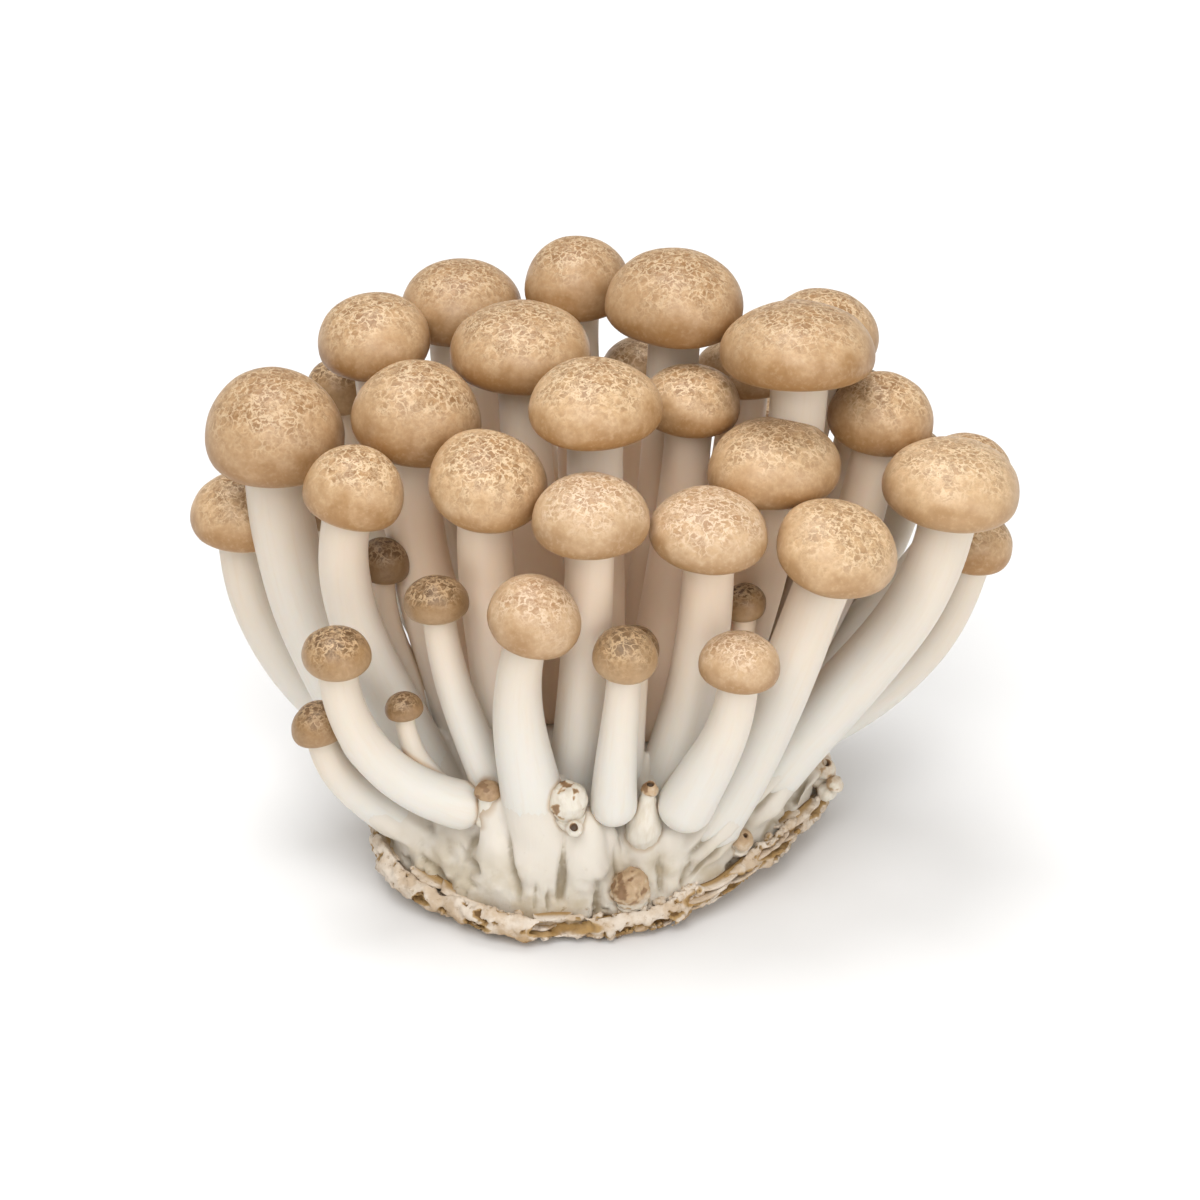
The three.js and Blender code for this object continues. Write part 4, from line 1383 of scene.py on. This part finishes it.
crust_copy = copy_of("substrate_crust")
loose = [stems[number - 1] for number in LOOSE_STEMS]
store_contacts(stems + pins, stems + pins + [crust_copy])
store_contacts([block], loose + pins + [crust_copy])
crust_copy.free()

# %% [markdown]
# ## White flesh
# The block is the same flesh as the stems, but it has been handled: it is greyer and stains
# spread up from the crust. Its folds, slits and hollows are darkened as painted shade, and so are
# the seams where pins and loose stems press on it. The pins share its fibres and that painted seam
# shade.

# %% Root material
PAINTED_FOLD_SHADE, PAINTED_SEAM_SHADE = colour("#8d7d62"), colour("#a5855c")
ROOT_CLOUDS, ROOT_SPECKS = 200, 900
ROOT_STRANDS = (1300, 160)


def root_material():
    material, tree, surface = new_material("root_flesh")
    where = place_on_piece(tree)
    height = put(tree, "ShaderNodeSeparateXYZ", {"Vector": where}).outputs["Z"]
    clouds = grain(tree, where, ROOT_CLOUDS, 4.0)
    specks = grain(tree, where, ROOT_SPECKS, 3.0, 0.6)
    strands = fibres(tree, where, *ROOT_STRANDS)
    flesh = mix(tree, ramp(tree, clouds, 0.4, 0.65), colour("#cdc5b8"), colour("#beb29d"))
    flesh = mix(tree, ramp(tree, height, 8 * MM, 15 * MM), flesh, colour("#d7cfc3"))
    low = ramp(tree, height, 8 * MM, 3 * MM)
    stained = times(tree, low, ramp(tree, clouds, 0.4, 0.62, 0.1, 0.7))
    flesh = mix(tree, stained, flesh, colour("#b3a083"))
    dots = times(tree, ramp(tree, specks, 0.64, 0.74), plus(tree, low, 0.1))
    flesh = mix(tree, dots, flesh, colour("#8f7550"))
    # Painted shade: folds, slits and hollows go grey-brown.
    flesh = mix(tree, ramp(tree, reading(tree, "painted_crease_shade"), 0.1, 1.0, 0.0, 0.75), flesh, PAINTED_FOLD_SHADE)
    # Painted shade along the seams where pins and loose stems press on the block.
    flesh = mix(tree, ramp(tree, reading(tree, "painted_contact_shade"), 0.5, 1.0, 0.0, 0.55), flesh, PAINTED_SEAM_SHADE)
    torn = times(tree, strands, plus(tree, low, 0.35))
    lay_on(tree, surface, flesh, plus(tree, torn, times(tree, specks, 0.3)), 0.6, 0.2)
    tree.links.new(ramp(tree, clouds, 0.3, 0.7, 0.5, 0.68), surface.inputs["Roughness"])
    surface.inputs["Specular IOR Level"].default_value = 0.35
    soft_flesh(surface, 0.12, 0.8)
    return material


root_flesh = root_material()
print("root flesh ready")

# %% Pin material
PIN_CLOUDS = 800
PIN_STRANDS = (1500, 200)


def pin_material():
    material, tree, surface = new_material("pin_flesh")
    ripe = reading(tree, "ripe")
    clouds = grain(tree, place_on_piece(tree), PIN_CLOUDS, 4.0, 0.6)
    strands = fibres(tree, reading(tree, "straight", "Vector"), *PIN_STRANDS)
    spread = plus(tree, ripe, times(tree, clouds, 0.8))
    flesh = mix(tree, ramp(tree, strands, 0.4, 0.7, 0.0, 0.5), colour("#dad3c6"), colour("#c8baa3"))
    flesh = mix(tree, ramp(tree, spread, 0.75, 1.35), flesh, colour("#b69a78"))
    flesh = mix(tree, ramp(tree, spread, 1.2, 1.8, 0.0, 0.85), flesh, colour("#7f5e3e"))
    # Painted shade where the pin presses on another piece.
    flesh = mix(tree, ramp(tree, reading(tree, "painted_contact_shade"), 0.5, 1.0, 0.0, 0.3), flesh, PAINTED_SEAM_SHADE)
    flesh = mix(tree, ramp(tree, ripe, 1.4, 1.9), flesh, colour("#4f3a24"))
    lay_on(tree, surface, flesh, clouds, 0.5, 0.15)
    surface.inputs["Roughness"].default_value = 0.55
    soft_flesh(surface, 0.12, 0.8)
    return material


pin_flesh = pin_material()
print("pin flesh ready")

# %% Place the white pieces
for number, body in enumerate(stems, 1):
    node = f"stem_{number:02d}"
    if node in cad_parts:
        finish_piece(body, f"fine_{node}", stem_flesh, node)
    else:
        finish_piece(body, f"inner_{node}", stem_flesh)
for number, body in enumerate(pins, 1):
    finish_piece(body, f"pin_{number:02d}", pin_flesh)
root_block = finish_piece(block, "root_block", root_flesh, "root_mass")
print("root block:", len(root_block.data.polygons), "faces")

# %% [markdown]
# ## The crust
# The crust is spent growing medium bound by white threads: a shallow dish with a thick torn
# lip. It starts as a copy of the plain solid, merged and subdivided so that it keeps that
# shape. A few hollows are cut out where chunks of the lip broke off, and a remesh evens the
# faces. Each corner is then moved by noise, which roughens the lip and eats ragged holes into
# its lower side. Thin flakes are laid on where layers of the lip have come apart, and crumbs
# that broke off lie on its top.

# %% Hollows
# Hollows: angle from +X, reach as a share, height over the lip's underside, and half sizes
# along the lip, inwards and upright.
HOLLOWS = [
    (258.5, 1.01, 2.1, (5.6, 2.4, 1.2)), (238, 1, 1.3, (2.4, 1.2, 0.7)),
    (222, 1, 1.2, (2, 1, 0.8)), (286, 1, 1, (2.4, 1.4, 0.7)),
    (308, 1, 1.9, (6.5, 2, 1.3)), (332, 1, 2, (5.5, 1.8, 1.1)),
    (205, 1, 1.8, (2.6, 1.2, 0.9)), (185, 1, 2.2, (3, 1.3, 0.7)),
    (30, 1, 2, (5, 1.6, 0.7)), (75, 1, 1.8, (4, 1.6, 0.7)),
    (120, 1, 2, (5, 1.6, 0.7)), (155, 1, 1.6, (4, 1.6, 0.7)),
    (352, 1, 2.2, (4, 1.5, 0.7)),
]


def hollow_frame(degrees, share, height, halves):
    """Takes a ball of radius 1 to a hollow."""
    angle = math.radians(degrees)
    stretch = Matrix.Diagonal((*[half * MM for half in halves], 1))
    turn = Matrix.Rotation(angle + math.pi / 2, 4, "Z")
    return Matrix.Translation(outline_point(share, angle, height, 1)) @ turn @ stretch


def hollow_cutters():
    cutters = bmesh.new()
    for row in HOLLOWS:
        ball = bmesh.new()
        bmesh.ops.create_icosphere(ball, subdivisions=4, radius=1)
        for vert in ball.verts:
            vert.co *= 1 + 0.3 * noise.noise(vert.co * 1.9 + Vector((row[0], 0, 0)))
        ball.transform(hollow_frame(*row))
        pour(ball, cutters)
    return cutters


print(len(HOLLOWS), "hollows")

# %% Torn crust
CRUST_VOXEL = 0.34 * MM
LIP_LUMPS = ((330, 0.6 * MM), (1000, 0.4 * MM))   # lumps to the metre, and how high they are
HOLES = ((620, 1), (1500, 0.5))                   # holes to the metre, and how much they count
HOLE_DEPTH = 0.8 * MM
BROKEN_PIT = 0.62             # how brown a hollow is, of the deepest hole


def lip_share(place):
    """1 on the outer lip, 0 under the block."""
    reach = math.hypot(place.x, place.y) / around(CRUST_REACH, math.atan2(place.y, place.x))
    return smooth(0.7, 0.92, reach)


def tear_crust(bm):
    """Roughens the lip, eats holes into it and stores how deep each corner lies in one."""
    pit_layer = bm.verts.layers.float.new("pit")
    to_balls = [hollow_frame(*row).inverted() for row in HOLLOWS]
    bm.normal_update()
    moves = []
    for vert in bm.verts:
        place = vert.co
        lip = lip_share(place)
        low = smooth(2.4 * MM, 0.4 * MM, height_on_lip(place))
        holes = sum(weight * noise.noise(place * cells) for cells, weight in HOLES)
        eaten = smooth(0.26, 0.48, holes + 0.2 * low) * lip
        rough = sum(height * noise.noise(place * cells) for cells, height in LIP_LUMPS)
        broken = smooth(1.3, 1.0, min((to_ball @ place).length for to_ball in to_balls))
        eaten *= 1 - broken
        vert[pit_layer] = max(eaten, BROKEN_PIT * broken)
        moves.append(vert.normal * (rough * lip - HOLE_DEPTH * eaten))
    for vert, move in zip(bm.verts, moves):
        vert.co += move
        vert.co.z = max(vert.co.z, 0)


crust = copy_of("substrate_crust")
bmesh.ops.subdivide_edges(crust, edges=crust.edges, cuts=3, use_grid_fill=True, smooth=0.3)
crust = fused(crust, CRUST_VOXEL, hollow_cutters())
soften(crust, 1)
tear_crust(crust)
print("crust:", len(crust.faces), "faces")

# %% Flakes
# Flakes one can tell apart: first and last angle, height over the lip's underside in mm, and
# how far out the flake reaches, as a share.
FLAKES = [
    (250, 261, 3.3, 1.03), (291, 309, 1.0, 1.03), (293, 312, 2.0, 1.05), (297, 319, 2.9, 1.04),
    (309, 326, 1.2, 1.04), (316, 338, 2.3, 1.05), (322, 346, 1.3, 1.03), (334, 352, 3.2, 1.04),
]
FLAKE_CUTS = (26, 5)
FLAKE_THICKNESS = 0.32 * MM
FLAKE_INNER = 0.09            # how far in a flake's inner edge lies, of the crust's reach
FLAKE_WIDTH = 0.07            # how wide it is halfway along, same share
FLAKE_RAGGED = 0.02           # how far its outer edge is torn, same share


def flake(first, last, height, out):
    """A thin torn sheet that follows the lip, brown on its inner side."""
    bm = bmesh.new()
    along, across = FLAKE_CUTS
    bmesh.ops.create_grid(bm, x_segments=along, y_segments=across, size=1)
    pit_layer = bm.verts.layers.float.new("pit")
    for vert in bm.verts:
        share, depth = 0.5 + 0.5 * vert.co.x, 0.5 + 0.5 * vert.co.y
        angle = math.radians(first + (last - first) * share)
        ragged = noise.noise(Vector((angle * 19, height * 5, 1)))
        ragged += 0.5 * noise.noise(Vector((angle * 60, height * 5, 2)))
        narrow = 1 - (2 * share - 1) ** 4
        reach = out - (FLAKE_INNER - FLAKE_WIDTH * depth * narrow) + FLAKE_RAGGED * ragged * depth
        curl = 0.5 * noise.noise(Vector((angle * 7, height * 3, 3))) + 0.4 * depth * ragged
        vert[pit_layer] = 0.9 * (1 - depth)
        vert.co = outline_point(reach, angle, height + curl, 1)
    bmesh.ops.recalc_face_normals(bm, faces=bm.faces)
    bmesh.ops.solidify(bm, geom=bm.faces, thickness=FLAKE_THICKNESS)
    for vert in bm.verts:
        vert.co.z = max(vert.co.z, 0)
    bmesh.ops.recalc_face_normals(bm, faces=bm.faces)
    return bm


def crumb(angle, share, height, size):
    """A small lump that came off the medium."""
    bm = bmesh.new()
    bmesh.ops.create_icosphere(bm, subdivisions=2, radius=size)
    pit_layer = bm.verts.layers.float.new("pit")
    place = outline_point(share, angle, height, 1)
    for vert in bm.verts:
        lump = noise.noise(vert.co / size * 1.3 + place * 900)
        vert.co = place + vert.co * (1 + 0.6 * lump)
        vert[pit_layer] = max(0, 0.25 - lump)
    return bm


print("a flake is", round(FLAKE_THICKNESS / MM, 2), "mm thick")

# %% Lay flakes and crumbs
SMALL_FLAKES = 34
CRUMBS = 70
for first, last, height, out in FLAKES:
    pour(flake(first, last, height, out), crust)
for count in range(SMALL_FLAKES):
    first = 360 * (count + rng.uniform(-0.4, 0.4)) / SMALL_FLAKES
    last = first + rng.uniform(8, 16)
    pour(flake(first, last, rng.uniform(0.8, 3.4), rng.uniform(0.99, 1.02)), crust)
for count in range(CRUMBS):
    # Half of the crumbs lie in front, a little to the right, and the others anywhere.
    angle = math.radians(rng.uniform(272, 300) if count % 2 else rng.uniform(0, 360))
    size = rng.uniform(0.35, 1) * MM
    pour(crumb(angle, rng.uniform(0.9, 0.98), rng.uniform(2.2, 3.6), size), crust)
print(len(FLAKES) + SMALL_FLAKES, "flakes and", CRUMBS, "crumbs")

# %% [markdown]
# ## Crust finish
# Threads have left the outside cream and beige. The torn lower side is golden brown, and
# holes are dark, because there the bare medium shows.

# %% Crust material
CRUST_CLOUDS, CRUST_CRUMBS = 260, 1200


def crust_material():
    material, tree, surface = new_material("torn_crust")
    where = place_on_piece(tree)
    pit = reading(tree, "pit")
    height = put(tree, "ShaderNodeSeparateXYZ", {"Vector": where}).outputs["Z"]
    clouds = grain(tree, where, CRUST_CLOUDS, 4.0, 0.6)
    crumbs = grain(tree, where, CRUST_CRUMBS, 4.0, 0.65)
    shell = mix(tree, ramp(tree, clouds, 0.4, 0.62), colour("#d8cbbb"), colour("#c2ad94"))
    low = ramp(tree, height, 4.5 * MM, 0.5 * MM)
    golden = times(tree, low, ramp(tree, clouds, 0.36, 0.58))
    shell = mix(tree, golden, shell, colour("#af8f65"))
    shell = mix(tree, ramp(tree, crumbs, 0.56, 0.72, 0.0, 0.55), shell, colour("#8d6c44"))
    # Darker specks towards the floor.
    lowest = ramp(tree, height, 3 * MM, 0.3 * MM)
    darker_near_floor = times(tree, lowest, ramp(tree, crumbs, 0.5, 0.6))
    shell = mix(tree, times(tree, darker_near_floor, 0.7), shell, colour("#6f5030"))
    shell = mix(tree, ramp(tree, pit, 0.2, 0.6, 0.0, 0.9), shell, colour("#a5834f"))
    shell = mix(tree, ramp(tree, pit, 0.65, 1.0, 0.0, 0.8), shell, colour("#64482a"))
    lay_on(tree, surface, shell, crumbs, 0.7, 0.25)
    surface.inputs["Roughness"].default_value = 0.85
    surface.inputs["Specular IOR Level"].default_value = 0.25
    return material


finish_piece(crust, "torn_crust", crust_material(), "substrate_crust")
print("crust placed")

# %% [markdown]
# ## Sizes
# The box of the finished cluster is printed next to the box of the plain solids. The fine
# pieces may make the cluster larger by no more than a hair.

# %% Sizes and finish
fine_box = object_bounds()
for axis, *ends in zip("XYZ", *cad_box, *fine_box):
    print(axis, "plain and fine, from and to:", [round(value / MM, 1) for value in ends])
